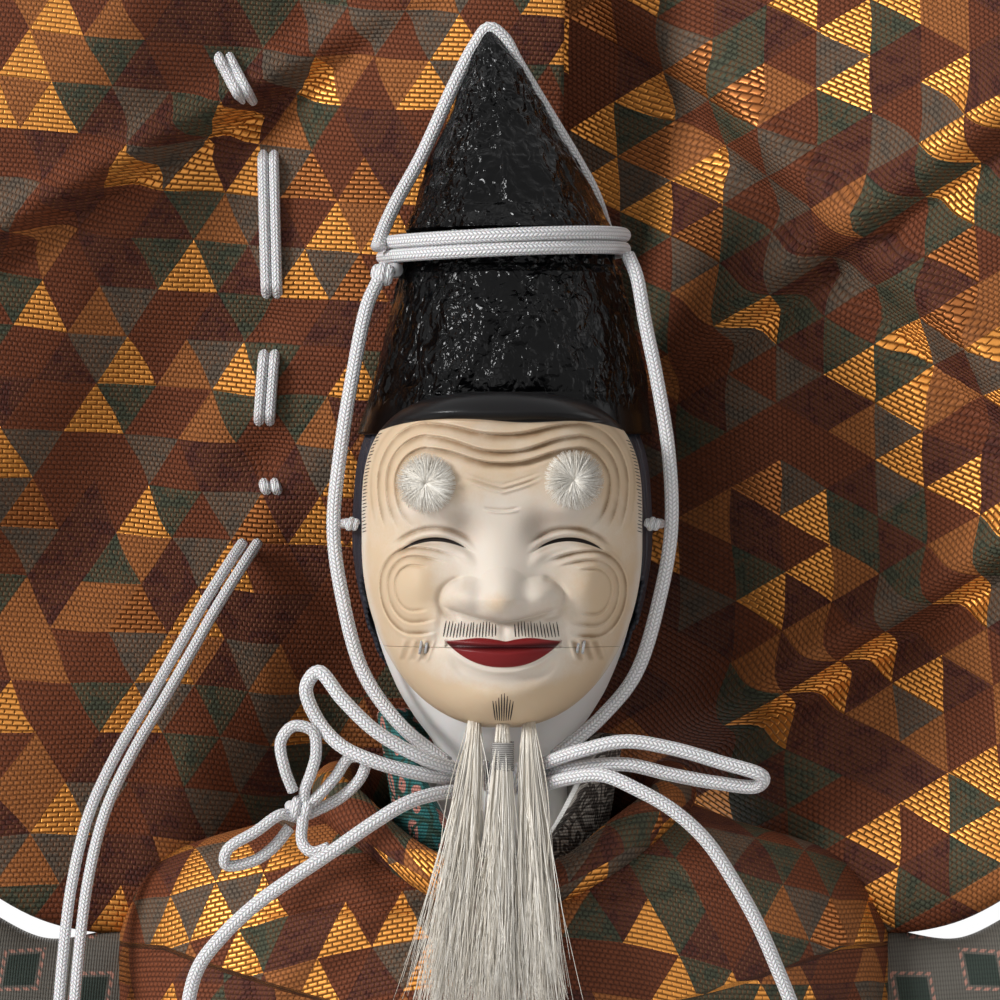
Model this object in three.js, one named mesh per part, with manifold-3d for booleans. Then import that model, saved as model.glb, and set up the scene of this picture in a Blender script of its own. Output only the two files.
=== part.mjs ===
// A noh doll of an old man with a smiling wooden mask, a tall lacquered hat and a brocade robe,
// standing on a lacquered board. Millimetres, +Z up, the doll faces -Y, +X is the viewer's right.
// Left and right are the viewer's. The origin is the centre of the stand's underside.
import * as THREE from "three";
import { mergeVertices } from "three/addons/utils/BufferGeometryUtils.js";
import Module from "manifold-3d";

const wasm = await Module();
wasm.setup();

// Driving dimensions
const fit = 0.3; // the gap that touching pieces keep
const standWidth = 210;
const standDepth = 150;
const plinthInset = 14;
const plinthHeight = 10;
const boardThickness = 12;
const boardBevel = 1.5;
const rodDiameter = 4;
const rodSocket = 8; // how deep the rod stands in the board
const rodGrip = 63; // how far the rod reaches up into the torso
const bodyDepth = 6; // where the trunk's axis lies in y
const footLength = 46;
const footWidth = 17;
const footHeight = 13;
const legSpacing = 44;
const legDiameter = 9;
const legLength = 150;
const torsoHeight = 105;
const torsoHalfWidth = 29;
const torsoHalfDepth = 15;
const armDiameter = 8;
const handLength = 22;
const neckPegDiameter = 7;
const neckPegSink = 28; // how deep the neck peg stands in the torso
const neckPegRise = 10; // how far it enters the neck
const neckRadius = 8;
const neckLength = 19; // from the torso's top to the level of the mask's chin
const headHalfWidth = 17.2;
const headFront = 19.5;
const headBack = 21;
const crownHeight = 48; // above the mask's chin
const hairThickness = 0.7;
const maskHeight = 40.4;
const maskHalfWidth = 16.95;
const maskRelief = 11.5; // how far the middle stands before the rim
const maskRimDepth = 14; // the rim's distance before the head's axis
const maskWall = 2;
const noseHeight = 5.2;
const jawHeight = 9.5; // the seam's height above the chin
const seamGap = 0.4;
const tuftDiameter = 7.2;
const tuftThickness = 3;
const beardLength = 41;
const hatDrop = 4.9; // how far the hat's edge reaches below the mask's top
const hatHeight = 48;
const hatWall = 0.9;
const cordDiameter = 1.7;
const robeLength = 192; // from the neck opening to the hem
const robeWall = 1.4;
const beltWidth = 10;
const beltThickness = 1.6;
const sleeveWall = 1.2;
const sleeveTop = 104; // above the mask's chin
const hakamaHem = 15.5; // above the stand

// Levels and places that follow from them
const floorLevel = plinthHeight + boardThickness;
const hipLevel = floorLevel + footHeight + legLength;
const torsoTop = hipLevel + torsoHeight;
const chin = torsoTop + neckLength;
const headAxis = bodyDepth - 2;
const hatLevel = chin + maskHeight - hatDrop;
const robeTop = torsoTop + 7;
const hemLevel = robeTop - robeLength;
const beltLevel = hipLevel + 20;

const finish = (color, roughness, metalness = 0) =>
  new THREE.MeshStandardMaterial({ color, roughness, metalness });
const blackLacquer = finish(0x0c0b0c, 0.15);
const steel = finish(0x9a9c9e, 0.35, 1);
const straw = finish(0xb59a63, 0.9);
const bareWood = finish(0xb98f5e, 0.7);
const whiteCotton = finish(0xf2efe8, 0.85);
const shellWhite = finish(0xf4f0ea, 0.5);
const hairBlack = finish(0x14151c, 0.6);
const maskIvory = finish(0xe9d9bb, 0.55);
const horsehair = finish(0xefe6d2, 0.7);
const silkCord = finish(0xf1eff0, 0.55);
const greyThread = finish(0x8f8b88, 0.7);
const tealSilk = finish(0x2f6f70, 0.7);
const greySilk = finish(0x6f675f, 0.75);
const brocade = finish(0xa8651f, 0.5, 0.25);
const greenBrocade = finish(0x4a4d44, 0.7);

const doll = new THREE.Group();

const vec = (x, y, z) => new THREE.Vector3(x, y, z);
const mix = (a, b, t) => a + (b - a) * t;
const clamp01 = (t) => Math.min(Math.max(t, 0), 1);
// Rises smoothly from 0 at the first value to 1 at the second.
function ease(from, to, value) {
  const t = clamp01((value - from) / (to - from));
  return t * t * (3 - 2 * t);
}

function add(name, geometry, material) {
  const mesh = new THREE.Mesh(geometry, material);
  mesh.name = name;
  doll.add(mesh);
}

// A body from points and triangles, turned so that its faces point out.
function bodyFrom(points, faces) {
  let volume = 0;
  for (let i = 0; i < faces.length; i += 3) {
    const [a, b, c] = [points[faces[i]], points[faces[i + 1]], points[faces[i + 2]]];
    volume += a.dot(b.clone().cross(c));
  }
  const order = volume < 0 ? faces.slice().reverse() : faces;
  const geometry = new THREE.BufferGeometry().setFromPoints(points);
  geometry.setIndex(order);
  return geometry.toNonIndexed();
}

// A body through rings of equal length, closed by a fan at each end or joined end to end.
function loft(rings, looped = false) {
  const sides = rings[0].length;
  const points = rings.flat();
  const faces = [];
  const bands = looped ? rings.length : rings.length - 1;
  for (let i = 0; i < bands; i++) {
    const here = i * sides;
    const there = ((i + 1) % rings.length) * sides;
    for (let j = 0; j < sides; j++) {
      const next = (j + 1) % sides;
      faces.push(here + j, here + next, there + next);
      faces.push(here + j, there + next, there + j);
    }
  }
  if (!looped) {
    closeEnd(points, faces, 0, sides, true);
    closeEnd(points, faces, (rings.length - 1) * sides, sides, false);
  }
  return bodyFrom(points, faces);
}

function closeEnd(points, faces, start, sides, first) {
  const middle = vec(0, 0, 0);
  for (let j = 0; j < sides; j++) middle.addScaledVector(points[start + j], 1 / sides);
  const centre = points.length;
  points.push(middle);
  for (let j = 0; j < sides; j++) {
    const next = (j + 1) % sides;
    if (first) faces.push(start + next, start + j, centre);
    else faces.push(start + j, start + next, centre);
  }
}

// A level oval about (x, y), with its own reach to the front and to the back.
function oval({ z, x = 0, y = headAxis, width, front, back, sides = 20, grow = 0, wave = null }) {
  const ring = [];
  for (let j = 0; j < sides; j++) {
    const angle = (2 * Math.PI * j) / sides - Math.PI / 2;
    const fold = wave ? wave(angle) : 1;
    const reach = (Math.sin(angle) < 0 ? front : back) + grow;
    ring.push(vec(x + (width + grow) * Math.cos(angle) * fold, y + reach * Math.sin(angle) * fold, z));
  }
  return ring;
}

const solid = (geometry) => {
  const bare = geometry.index ? geometry.toNonIndexed() : geometry.clone();
  for (const name of Object.keys(bare.attributes)) if (name !== "position") bare.deleteAttribute(name);
  const merged = mergeVertices(bare, 1e-4);
  return new wasm.Manifold(
    new wasm.Mesh({
      numProp: 3,
      vertProperties: merged.attributes.position.array,
      triVerts: new Uint32Array(merged.index.array),
    }),
  );
};

// Cuts leave tiny edges, which are merged where that moves the surface less than this.
const finestEdge = 0.02;
const geometryOf = (manifold) => {
  const mesh = manifold.simplify(finestEdge).getMesh();
  const geometry = new THREE.BufferGeometry();
  geometry.setAttribute("position", new THREE.BufferAttribute(mesh.vertProperties, 3));
  geometry.setIndex(new THREE.BufferAttribute(mesh.triVerts, 1));
  return geometry.toNonIndexed();
};

const cut = (body, ...tools) =>
  geometryOf(tools.reduce((left, tool) => left.subtract(solid(tool)), solid(body)));
const join = (...bodies) => geometryOf(bodies.map(solid).reduce((all, next) => all.add(next)));

// An upright round bar from one level to another.
function bar(x, y, bottom, top, diameter, sides = 16) {
  const geometry = new THREE.CylinderGeometry(diameter / 2, diameter / 2, top - bottom, sides);
  return geometry.rotateX(Math.PI / 2).translate(x, y, (top + bottom) / 2);
}

function block(width, depth, bottom, top, x = 0, y = 0) {
  return new THREE.BoxGeometry(width, depth, top - bottom).translate(x, y, (top + bottom) / 2);
}

function ball(x, y, z, rx, ry, rz, across = 10, up = 6) {
  const geometry = new THREE.SphereGeometry(1, across, up).rotateX(Math.PI / 2);
  return geometry.scale(rx, ry, rz).translate(x, y, z);
}

// A tube along a smooth curve through the points.
function tube(points, diameter, steps, sides = 8) {
  const section = new THREE.Shape();
  for (let j = 0; j < sides; j++) {
    const angle = (2 * Math.PI * j) / sides;
    section[j ? "lineTo" : "moveTo"]((diameter / 2) * Math.cos(angle), (diameter / 2) * Math.sin(angle));
  }
  section.closePath();
  const path = new THREE.CatmullRomCurve3(points.map(([x, y, z]) => vec(x, y, z)), false, "centripetal");
  return new THREE.ExtrudeGeometry(section, { steps, extrudePath: path, bevelEnabled: false });
}

// A cord's points are chosen by hand, each with its height above the mask's chin.
const cord = (points, diameter, steps, sides) =>
  tube(points.map(([x, y, rise]) => [x, y, chin + rise]), diameter, steps, sides);

// Stand: a lacquered board on a smaller plinth, with a steel rod that the doll slides down over
function bevelledBoard(width, depth, bottom, top, bevel) {
  const corners = (w, d, z) => [vec(w, d, z), vec(-w, d, z), vec(-w, -d, z), vec(w, -d, z)];
  return loft([
    corners(width / 2, depth / 2, bottom),
    corners(width / 2, depth / 2, top - bevel),
    corners(width / 2 - bevel, depth / 2 - bevel, top),
  ]);
}
const rodBottom = floorLevel - rodSocket;
const rodTop = hipLevel + rodGrip;
const plinth = block(standWidth - 2 * plinthInset, standDepth - 2 * plinthInset, 0, plinthHeight);
const board = bevelledBoard(standWidth, standDepth, plinthHeight, floorLevel, boardBevel);
const rodHole = bar(0, bodyDepth, rodBottom - fit, floorLevel + 1, rodDiameter + 2 * fit);
add("stand_plinth", plinth, blackLacquer);
add("stand_board", cut(board, rodHole), blackLacquer);
add("support_rod", bar(0, bodyDepth, rodBottom, rodTop, rodDiameter), steel);

// Feet in split-toed socks, and the wooden legs that stand on them
const ankleLevel = floorLevel + footHeight;
function foot(side) {
  const x = (side * legSpacing) / 2;
  const half = footWidth / 2;
  const heel = bodyDepth + footLength * 0.28;
  const along = (share) => heel - footLength * share;
  const sole = { x, y: along(0.5), width: half, front: footLength / 2, back: footLength / 2, sides: 16 };
  const body = loft([
    oval({ ...sole, z: floorLevel, width: half - 1 }),
    oval({ ...sole, z: floorLevel + 3 }),
    oval({ ...sole, z: floorLevel + 7, y: along(0.42), front: footLength * 0.5, back: footLength * 0.42 }),
    oval({ ...sole, z: ankleLevel - 2, y: along(0.28), width: half - 1.2, front: 13, back: 12 }),
    oval({ ...sole, z: ankleLevel, y: bodyDepth, width: legDiameter / 2 + 2, front: 7, back: 7 }),
  ]);
  const toeCleft = block(0.8, footLength * 0.3, floorLevel - 1, ankleLevel, x - side * 3, along(0.9));
  return cut(body, toeCleft);
}
const legTop = hipLevel - fit;
const legBar = (side, grow = 0) =>
  bar((side * legSpacing) / 2, bodyDepth, ankleLevel - grow, legTop + 2 * grow, legDiameter + 2 * grow, 12);

// Trunk: a straw core, with a bore for the rod below and one for the neck peg above
const torsoOvals = [
  [0, 0.66, 0.92],
  [0.14, 0.64, 0.92],
  [0.48, 0.8, 1],
  [0.8, 0.96, 1.06],
  [0.93, 1, 0.88],
  [1, 0.5, 0.68],
];
const torsoForm = (grow = 0) =>
  loft(
    torsoOvals.map(([rise, wide, deep], i) =>
      oval({
        z: mix(hipLevel, torsoTop, rise) + (i === 0 ? -grow : 0) + (i === torsoOvals.length - 1 ? grow : 0),
        y: bodyDepth,
        width: torsoHalfWidth * wide,
        front: torsoHalfDepth * deep,
        back: torsoHalfDepth * deep,
        sides: 16,
        grow,
      }),
    ),
  );
const pegBottom = torsoTop - neckPegSink;
const pegTop = torsoTop + neckPegRise;
const rodBore = bar(0, bodyDepth, hipLevel - 1, rodTop + fit, rodDiameter + 2 * fit);
const pegBore = bar(0, bodyDepth, pegBottom - fit, pegTop + fit, neckPegDiameter + 2 * fit);
add("torso_core", cut(torsoForm(), rodBore, pegBore), straw);
add("neck_peg", bar(0, bodyDepth, pegBottom, pegTop, neckPegDiameter), bareWood);

// Head: rings by their height above the mask's chin, shares of half width, front and back reach
const headOvals = [
  [-6, neckRadius, neckRadius + 1, neckRadius + 1, 2],
  [-2.6, headHalfWidth * 0.48, headFront * 0.62, headBack * 0.55, 0],
  [1, headHalfWidth * 0.63, headFront * 0.79, headBack * 0.68, 0],
  [5, headHalfWidth * 0.76, headFront * 0.92, headBack * 0.79, 0],
  [11, headHalfWidth * 0.89, headFront * 0.98, headBack * 0.93, 0],
  [20, headHalfWidth, headFront, headBack, 0],
  [28, headHalfWidth, headFront * 0.99, headBack * 1.01, 0],
  [34, headHalfWidth * 0.95, headFront * 0.93, headBack * 0.96, 0],
  [40, headHalfWidth * 0.78, headFront * 0.75, headBack * 0.8, 0],
  [44, headHalfWidth * 0.56, headFront * 0.52, headBack * 0.57, 0],
  [47, headHalfWidth * 0.28, headFront * 0.26, headBack * 0.28, 0],
];
const headForm = (grow = 0, sides = 18) =>
  loft([
    oval({
      z: torsoTop + fit, y: bodyDepth, width: neckRadius, front: neckRadius, back: neckRadius, sides, grow,
    }),
    ...headOvals.map(([rise, width, front, back, shift]) =>
      oval({ z: chin + rise, y: headAxis + shift, width, front, back, sides, grow }),
    ),
    oval({ z: chin + crownHeight + grow, width: 0.8, front: 0.8, back: 0.8, sides }),
  ]);
const noseTip = ball(0, headAxis - headFront, chin + 16.5, 1.9, 2.2, 2.6, 8, 6);
const noseRidge = ball(0, headAxis - headFront + 0.6, chin + 20, 1.3, 1.6, 4.5, 8, 6);
add("head", cut(join(headForm(), noseTip, noseRidge), pegBore), shellWhite);

// Hair: a shell on the head, open over the face and below the hairline
const hairline = new THREE.BoxGeometry(80, 80, 60);
hairline.translate(0, 0, -30).rotateX(-0.84).translate(0, headAxis, chin + 12);
const faceGap = block(80, 40, chin - 30, chin + 70, 0, headAxis - 10 - 20);
add("hair", cut(headForm(fit + hairThickness), headForm(fit), hairline, faceGap), hairBlack);

// Hat: a lacquered paper shell with a smooth edge that fits over the hair
const overHair = 2 * fit + hairThickness;
const hatEdge = {
  width: headHalfWidth * 0.93 + overHair + hatWall,
  front: headFront * 0.91 + hatWall,
  back: headBack * 0.97 + overHair + hatWall,
};
// Rise above the hat's edge as a share of its height, middle x and y, half width, front, back
const hatOvals = [
  [0, 0.3, headAxis, hatEdge.width, hatEdge.front, hatEdge.back],
  [0.1, 0.8, 4.8, 17.1, 17.9, 20.6],
  [0.162, 1, 5, 16.6, 17.6, 19.8],
  [0.305, 1, 5.2, 14.8, 16.3, 18],
  [0.4115, 0.9, 5.5, 13.5, 14.6, 16.2],
  [0.429, 0.8, 5.6, 13, 13.9, 15.6],
  [0.51, 0.8, 5.8, 12.4, 13.3, 15],
  [0.523, 0.8, 5.8, 12.6, 14.9, 15.2],
  [0.581, 0.6, 6, 11.4, 13.2, 13.9],
  [0.706, 0, 6.4, 8.9, 10.4, 10.9],
  [0.857, -0.6, 7, 4.9, 5.9, 6],
  [0.9465, -1.2, 7.4, 2.5, 3, 3],
  [1, -1.6, 7.6, 0.7, 0.8, 0.8],
];
const hatRing = ([rise, x, y, width, front, back], inset = 0, lower = 0) =>
  oval({ z: hatLevel + rise * hatHeight - lower, x, y, width, front, back, grow: -inset, sides: 20 });
const hatMouth = hatRing(hatOvals[0], hatWall, 1);
const hatInside = [hatMouth, ...hatOvals.slice(0, 11).map((station) => hatRing(station, hatWall))];
add("hat", cut(loft(hatOvals.map((station) => hatRing(station))), loft(hatInside)), blackLacquer);

// Mask: a front surface given by a formula, in heights above the chin
function maskWidth(rise) {
  const low = 22;
  const high = 25;
  if (rise < low) return maskHalfWidth * (1 - ((low - rise) / low) ** 2) ** 0.465;
  const t = clamp01((rise - high) / (maskHeight - high));
  return maskHalfWidth * (1 - t ** 3) ** (1 / 3);
}
const bump = (dx, dz, rx, rz) => Math.exp(-((dx / rx) ** 2) - (dz / rz) ** 2);
function maskRim(rise) {
  const chinReach = 5.5 * Math.max(1 - rise / 16, 0) ** 2;
  const browReach = 5 * ease(33, maskHeight + 2, rise) ** 2;
  return headAxis - maskRimDepth - chinReach - browReach;
}
function maskSwell(rise, share) {
  const low = (1 - (1 - Math.min(Math.max(rise, 0), 14) / 14) ** 2.6) ** 0.6;
  const high = 1 - 0.7 * clamp01((rise - 28) / (maskHeight - 28)) ** 4;
  return maskRelief * low * high * (1 - Math.abs(share) ** 2.3) ** 0.62;
}
function maskFeatures(x, rise) {
  const down = clamp01((26 - rise) / 10.6);
  const under = clamp01((rise - 12.4) / 2.4);
  const nose = noseHeight * down ** 1.3 * ease(0, 1, under) * bump(x + 0.2, 0, mix(1.7, 3.4, down), 1);
  const wings = 1.7 * (bump(x + 5.2, rise - 14.6, 1.7, 1.6) + bump(x - 5, rise - 14.6, 1.7, 1.6));
  const cheeks = 1.3 * (bump(x + 11, rise - 17, 4, 4.5) + bump(x - 11, rise - 17, 4, 4.5));
  const eyes = -0.9 * (bump(x + 8, rise - 22.2, 4, 1.8) + bump(x - 8, rise - 22.2, 4, 1.8));
  const brows = 0.7 * (bump(x + 8, rise - 28, 5, 3) + bump(x - 8, rise - 28, 5, 3));
  const lips = 0.9 * bump(x, rise - 9.3, 6.5, 2.2);
  const chinSwell = 0.8 * bump(x, rise - 4.6, 4.5, 2.5);
  const band = 0.9 * ease(36.6, 38, rise);
  return nose + wings + cheeks + eyes + brows + lips + chinSwell + band;
}
const maskFront = (x, rise) => {
  const share = Math.min(Math.abs(x) / Math.max(maskWidth(rise), 0.01), 1);
  return maskRim(rise) - maskSwell(rise, share) - maskFeatures(x, rise) * (1 - share ** 6);
};
// A shell of the mask between two heights; each row runs across the front and back along the inside.
function maskShell(rows, columns) {
  const inset = 1.5;
  const rings = rows.map((rise) => {
    const width = maskWidth(rise);
    const inner = Math.max(width - inset, width * 0.4);
    const ring = [];
    for (let j = 0; j <= columns; j++) {
      const share = Math.sin(((j / columns) * 2 - 1) * (Math.PI / 2));
      ring.push(vec(share * width, maskFront(share * width, rise), chin + rise));
    }
    for (let j = columns; j >= 0; j -= 2) {
      const share = Math.sin(((j / columns) * 2 - 1) * (Math.PI / 2));
      const depth = 0.6 + (maskWall - 0.6) * (1 - share ** 4);
      ring.push(vec(share * inner, maskRim(rise) - maskSwell(rise, share) + depth, chin + rise));
    }
    return ring;
  });
  return loft(rings);
}
const tieHole = (side) =>
  new THREE.CylinderGeometry(1, 1, 40, 8).translate(side * 9.4, -12, chin + jawHeight + seamGap / 2);
const faceRows = [
  jawHeight + seamGap, 11, 12.4, 13.6, 14.8, 16, 18, 20, 22, 24, 26, 28, 30, 32.5, 35, 36.8, 38, 39.2, 40,
  maskHeight - 0.05,
];
const jawRows = [0.12, 0.7, 1.8, 3.4, 5, 6.6, 8.2, jawHeight];
const faceShell = maskShell(faceRows, 16);
const jawShell = maskShell(jawRows, 14);
add("mask_face", cut(faceShell, tieHole(-1), tieHole(1)), maskIvory);
add("mask_jaw", cut(jawShell, tieHole(-1), tieHole(1)), maskIvory);

// Ties of white cord: round the head for the mask, and at the seam for the jaw
for (const [name, side] of [["left_jaw_tie", -1], ["right_jaw_tie", 1]]) {
  const x = side * 9.4;
  const seam = jawHeight + seamGap / 2;
  add(name, ball(x, maskFront(x, seam) + 0.7, chin + seam, 0.65, 1.3, 0.65, 8, 8), silkCord);
}
const tieLevel = chin + 24.5;
const tieDiameter = 1.2;
const knotRadius = 0.95;
const knotX = maskHalfWidth + fit + knotRadius;
const knotY = maskRim(24.5);
add("left_tie_knot", ball(-knotX, knotY, tieLevel, knotRadius, knotRadius, knotRadius * 1.1, 8, 6), silkCord);
add("right_tie_knot", ball(knotX, knotY, tieLevel, knotRadius, knotRadius, knotRadius * 1.1, 8, 6), silkCord);
const tieReach = overHair + fit + tieDiameter / 2 + 0.3;
const tiePath = [[-knotX, knotY + knotRadius + fit, tieLevel]];
for (const turn of [-0.08, -0.28, -0.5, -0.72, -0.92]) {
  const angle = Math.PI * (1 + turn);
  const x = (headHalfWidth + tieReach) * Math.cos(angle);
  tiePath.push([x, headAxis + (headBack + tieReach) * Math.sin(angle), tieLevel]);
}
tiePath.push([knotX, knotY + knotRadius + fit, tieLevel]);
add("mask_tie_cord", tube(tiePath, tieDiameter, 26, 6), silkCord);

// Brow tufts stand on the mask's forehead
const moved = (geometry, x, y, z) => geometryOf(solid(geometry).translate([x, y, z]));
const tuftSeat = [moved(faceShell, 0, -fit, 0), moved(faceShell, 0, maskWall / 2, 0)];
for (const [name, x, rise] of [["left_brow_tuft", -9.1, 29.4], ["right_brow_tuft", 8.6, 29.8]]) {
  const y = maskFront(x, rise) - fit;
  const puff = ball(x, y - 0.4, chin + rise, tuftDiameter / 2, tuftThickness, tuftDiameter / 2, 12, 8);
  add(name, cut(puff, ...tuftSeat), horsehair);
}

// Beard: three fluted tufts that hang from the jaw and lean forward over the chest
const beardRoots = [
  { name: "beard_left", x: -3.3, foot: -7.2, rise: 1.1, spread: 2.8 },
  { name: "beard_middle", x: 0.1, foot: -1.2, rise: 0.6, spread: 1.7 },
  { name: "beard_right", x: 3.2, foot: 5.2, rise: 1, spread: 2.8 },
];
const chinFloor = moved(jawShell, 0, 0, -fit);
const beardLean = 11;
const beardDepth = (rootY, t) => rootY - beardLean * t ** 0.8;
function beardTuft({ x, foot: end, rise, spread }) {
  const top = chin + rise;
  const rootY = maskFront(x, Math.max(rise, 1)) + 1.1;
  const rings = [];
  for (const t of [0, 0.06, 0.25, 0.5, 0.75, 0.93, 1]) {
    const full = mix(0.85, spread, ease(0, 0.75, t)) * (t > 0.95 ? 0.45 : 1);
    const centre = vec(mix(x, end, t ** 1.2), beardDepth(rootY, t), top - beardLength * t);
    rings.push(
      oval({
        x: centre.x, y: centre.y, z: centre.z, width: full, front: full * 0.7, back: full * 0.5, sides: 12,
        wave: (angle) => 1 + 0.08 * Math.cos(6 * angle),
      }),
    );
  }
  return loft(rings);
}
const bindingHeight = 3.4;
const bindingTop = chin - 1.6;
const bindingRod = (grow, extra) => {
  const middle = beardRoots[1];
  const below = chin + middle.rise - bindingTop + bindingHeight / 2;
  const y = beardDepth(maskFront(middle.x, 1) + 1.1, below / beardLength);
  return bar(middle.x, y, bindingTop - bindingHeight - extra, bindingTop + extra, 2.6 + 2 * grow, 12);
};
for (const root of beardRoots) {
  const tuft = cut(beardTuft(root), chinFloor);
  const middle = root.name === "beard_middle";
  add(root.name, middle ? tuft : cut(tuft, bindingRod(fit, fit)), horsehair);
}
const middleGrown = geometryOf(solid(beardTuft(beardRoots[1])));
const tuftSpace = middleGrown
  .translate(-beardRoots[1].x, 0, 0)
  .scale(1.18, 1, 1)
  .translate(beardRoots[1].x, 0, 0);
add("beard_binding", cut(bindingRod(0, 0), tuftSpace), greyThread);

// Hat cords: a double winding on the hat, a strand over its peak, and one down each side
const hatAt = (rise) => {
  const next = hatOvals.findIndex((station) => station[0] >= rise);
  const [a, b] = [hatOvals[Math.max(next - 1, 0)], hatOvals[next]];
  const t = b[0] === a[0] ? 0 : (rise - a[0]) / (b[0] - a[0]);
  return a.map((value, i) => mix(value, b[i], t));
};
const cordRadius = cordDiameter / 2;
const windingPitch = cordDiameter + 0.5;
const windingTurns = 2;
const wrapRise = 0.44;
const windingStart = Math.PI * 1.08;
function windingPoint(turn) {
  const angle = windingStart - turn * 2 * Math.PI;
  const [, x, y, width, front, back] = hatAt(wrapRise);
  const clear = cordRadius + fit + 0.35;
  const reach = Math.sin(angle) < 0 ? front : back;
  const px = x - 0.6 + (width + clear + 0.4) * Math.cos(angle);
  const climb = windingPitch * (turn - windingTurns / 2);
  const level = hatLevel + (wrapRise + 0.03) * hatHeight + 0.05 * px;
  return [px, y + (reach + clear) * Math.sin(angle), level + climb];
}
const windingPath = [];
for (let step = 0; step <= 24 * windingTurns; step++) windingPath.push(windingPoint(step / 24));
add("hat_cord_wrap", tube(windingPath, cordDiameter, 24 * windingTurns, 6), silkCord);
let windingGap = Infinity;
for (let step = 0; step <= 24 * (windingTurns - 1); step++) {
  const a = windingPath[step];
  const b = windingPath[step + 24];
  windingGap = Math.min(windingGap, Math.hypot(a[0] - b[0], a[1] - b[1], a[2] - b[2]) - cordDiameter);
}
console.log("least gap of the hat cord's winding to itself, mm:", windingGap.toFixed(2));

const cordPaths = {
  hat_cord_apex: [
    [-14.2, 1.5, 63.4], [-12.6, 1.4, 65.6], [-10.6, 2.6, 71.6], [-7.2, 4.6, 79.2], [-4, 6.6, 83.8],
    [-1.6, 7.6, 85.6], [0.6, 7.6, 84.2], [5, 6, 77.6], [9.9, 4.2, 70.2], [12.4, 3, 65.8],
    [13.2, 3.4, 63.6],
  ],
  hat_cord_left: [
    [-15.3, -3.2, 53.6], [-16.4, -4.4, 51], [-18.2, -6.4, 42], [-19.6, -7.6, 33], [-20.4, -7.8, 24],
    [-19.4, -8, 16], [-16.8, -8.6, 6.6], [-12.2, -10.6, 0.2], [-6.6, -14, -4.2],
  ],
  hat_cord_right: [
    [16.4, -3.2, 54.6], [17.4, -4.6, 49], [18.8, -6.4, 42], [20.2, -7.6, 33], [20.5, -7.8, 24],
    [19.2, -8, 16], [16.2, -8.6, 6.4], [12, -10.4, 1.2], [6.4, -14, -3.4],
  ],
  chin_bow_left_loop: [
    [-4.6, -16.6, -5.1], [-9.5, -20.4, -3.4], [-15, -21.8, -0.2], [-19, -21.6, 3.6],
    [-21.9, -20.6, 6.9], [-23.4, -19.8, 5], [-22.2, -19.6, 1.4], [-19.4, -20.6, -1.8],
    [-15.2, -21.4, -3.8],
    [-9.4, -19.6, -5.4], [-4.8, -15.2, -6.1],
  ],
  chin_bow_right_loop: [
    [4.6, -16.6, -4.4], [9.2, -20.6, -2.6], [14.6, -22, -1.4], [20.2, -22.2, -2.2], [25.8, -22, -3.8],
    [31.1, -21.6, -5.6], [30.4, -20, -6.8], [25.6, -19.8, -6.4], [20.2, -20, -5.4], [14.8, -20, -4.2],
    [9.6, -18.6, -4.6], [4.8, -15.2, -5.8],
  ],
  chin_cord_left_tail: [
    [-4.4, -16.8, -7.4], [-8.4, -20.6, -7.8], [-11.6, -22.8, -8.8], [-15.6, -24, -11.2],
    [-20.2, -24.4, -14.4], [-25, -24.4, -17.6], [-29.4, -24, -20.8], [-33.2, -23.4, -24.4],
    [-36, -22.8, -28], [-37.2, -22.4, -31.6],
    [-37.6, -22.4, -37], [-37.2, -22.8, -45], [-36.2, -23.4, -54], [-35.4, -23.8, -62],
  ],
  chin_cord_right_tail: [
    [4.4, -16.8, -7], [8.2, -20.4, -5.8], [12, -22.6, -5.4], [16, -24, -7], [20.2, -24.6, -9.4],
    [24.2, -24.6, -13], [27.6, -24.2, -18], [30.4, -23.8, -23], [32.6, -23.4, -28], [34.6, -23, -33],
    [36.4, -22.6, -39], [37.6, -22.4, -47], [38, -22.6, -56], [37.6, -22.8, -64],
  ],
};
const cordSteps = {
  hat_cord_apex: 14, hat_cord_left: 14, hat_cord_right: 14, chin_bow_left_loop: 15, chin_bow_right_loop: 17,
  chin_cord_left_tail: 18, chin_cord_right_tail: 18,
};
for (const [name, points] of Object.entries(cordPaths)) {
  add(name, cord(points, cordDiameter, cordSteps[name], 8), silkCord);
}
const knotLevel = chin - 5.6;
add("chin_knot", ball(0, -15.4, knotLevel, 4, 2.2, 2.6, 12, 8), silkCord);

// Robe: a padded body over the trunk and a hollow skirt; each station has its own level
const foldCount = 9;
const foldWave = (depth) => (angle) => 1 + depth * Math.cos(foldCount * angle + 0.6);
const skirtTop = hipLevel + 2 * fit;
const robeStations = [
  // level, half width, reach to the front and to the back, depth of the folds
  [hemLevel, 54, 34, 32, 0.035],
  [mix(hemLevel, hipLevel, 0.53), 50, 31, 30, 0.03],
  [skirtTop, 44, 28, 28, 0.015],
  [beltLevel - 5.9, 38, 25, 25, 0],
  [beltLevel + 7.5, 38, 25, 25, 0],
  [robeTop - 65, 43, 26.4, 25.6, 0.006],
  [robeTop - 42, 47, 26.6, 25.6, 0],
  [robeTop - 23, 48, 25.4, 25, 0],
  [robeTop - 11.5, 47, 23.4, 23, 0],
  [robeTop - 4.2, 41, 20.6, 20.4, 0],
  [robeTop, 28, 17, 17.2, 0],
];
const robeRing = ([level, width, front, back, depth], grow = 0, lift = 0) =>
  oval({
    z: level + lift, y: bodyDepth - 1, width, front, back, grow, sides: 24, wave: foldWave(depth),
  });
const robeForm = (grow = 0) =>
  loft(
    robeStations.map((station, i) =>
      robeRing(station, grow, i === 0 ? -grow : i === robeStations.length - 1 ? grow : 0),
    ),
  );
const skirtSpace = loft([
  robeRing(robeStations[0], -robeWall, -2),
  robeRing(robeStations[0], -robeWall, 0),
  robeRing(robeStations[1], -robeWall),
  robeRing(robeStations[2], -robeWall),
]);

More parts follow.
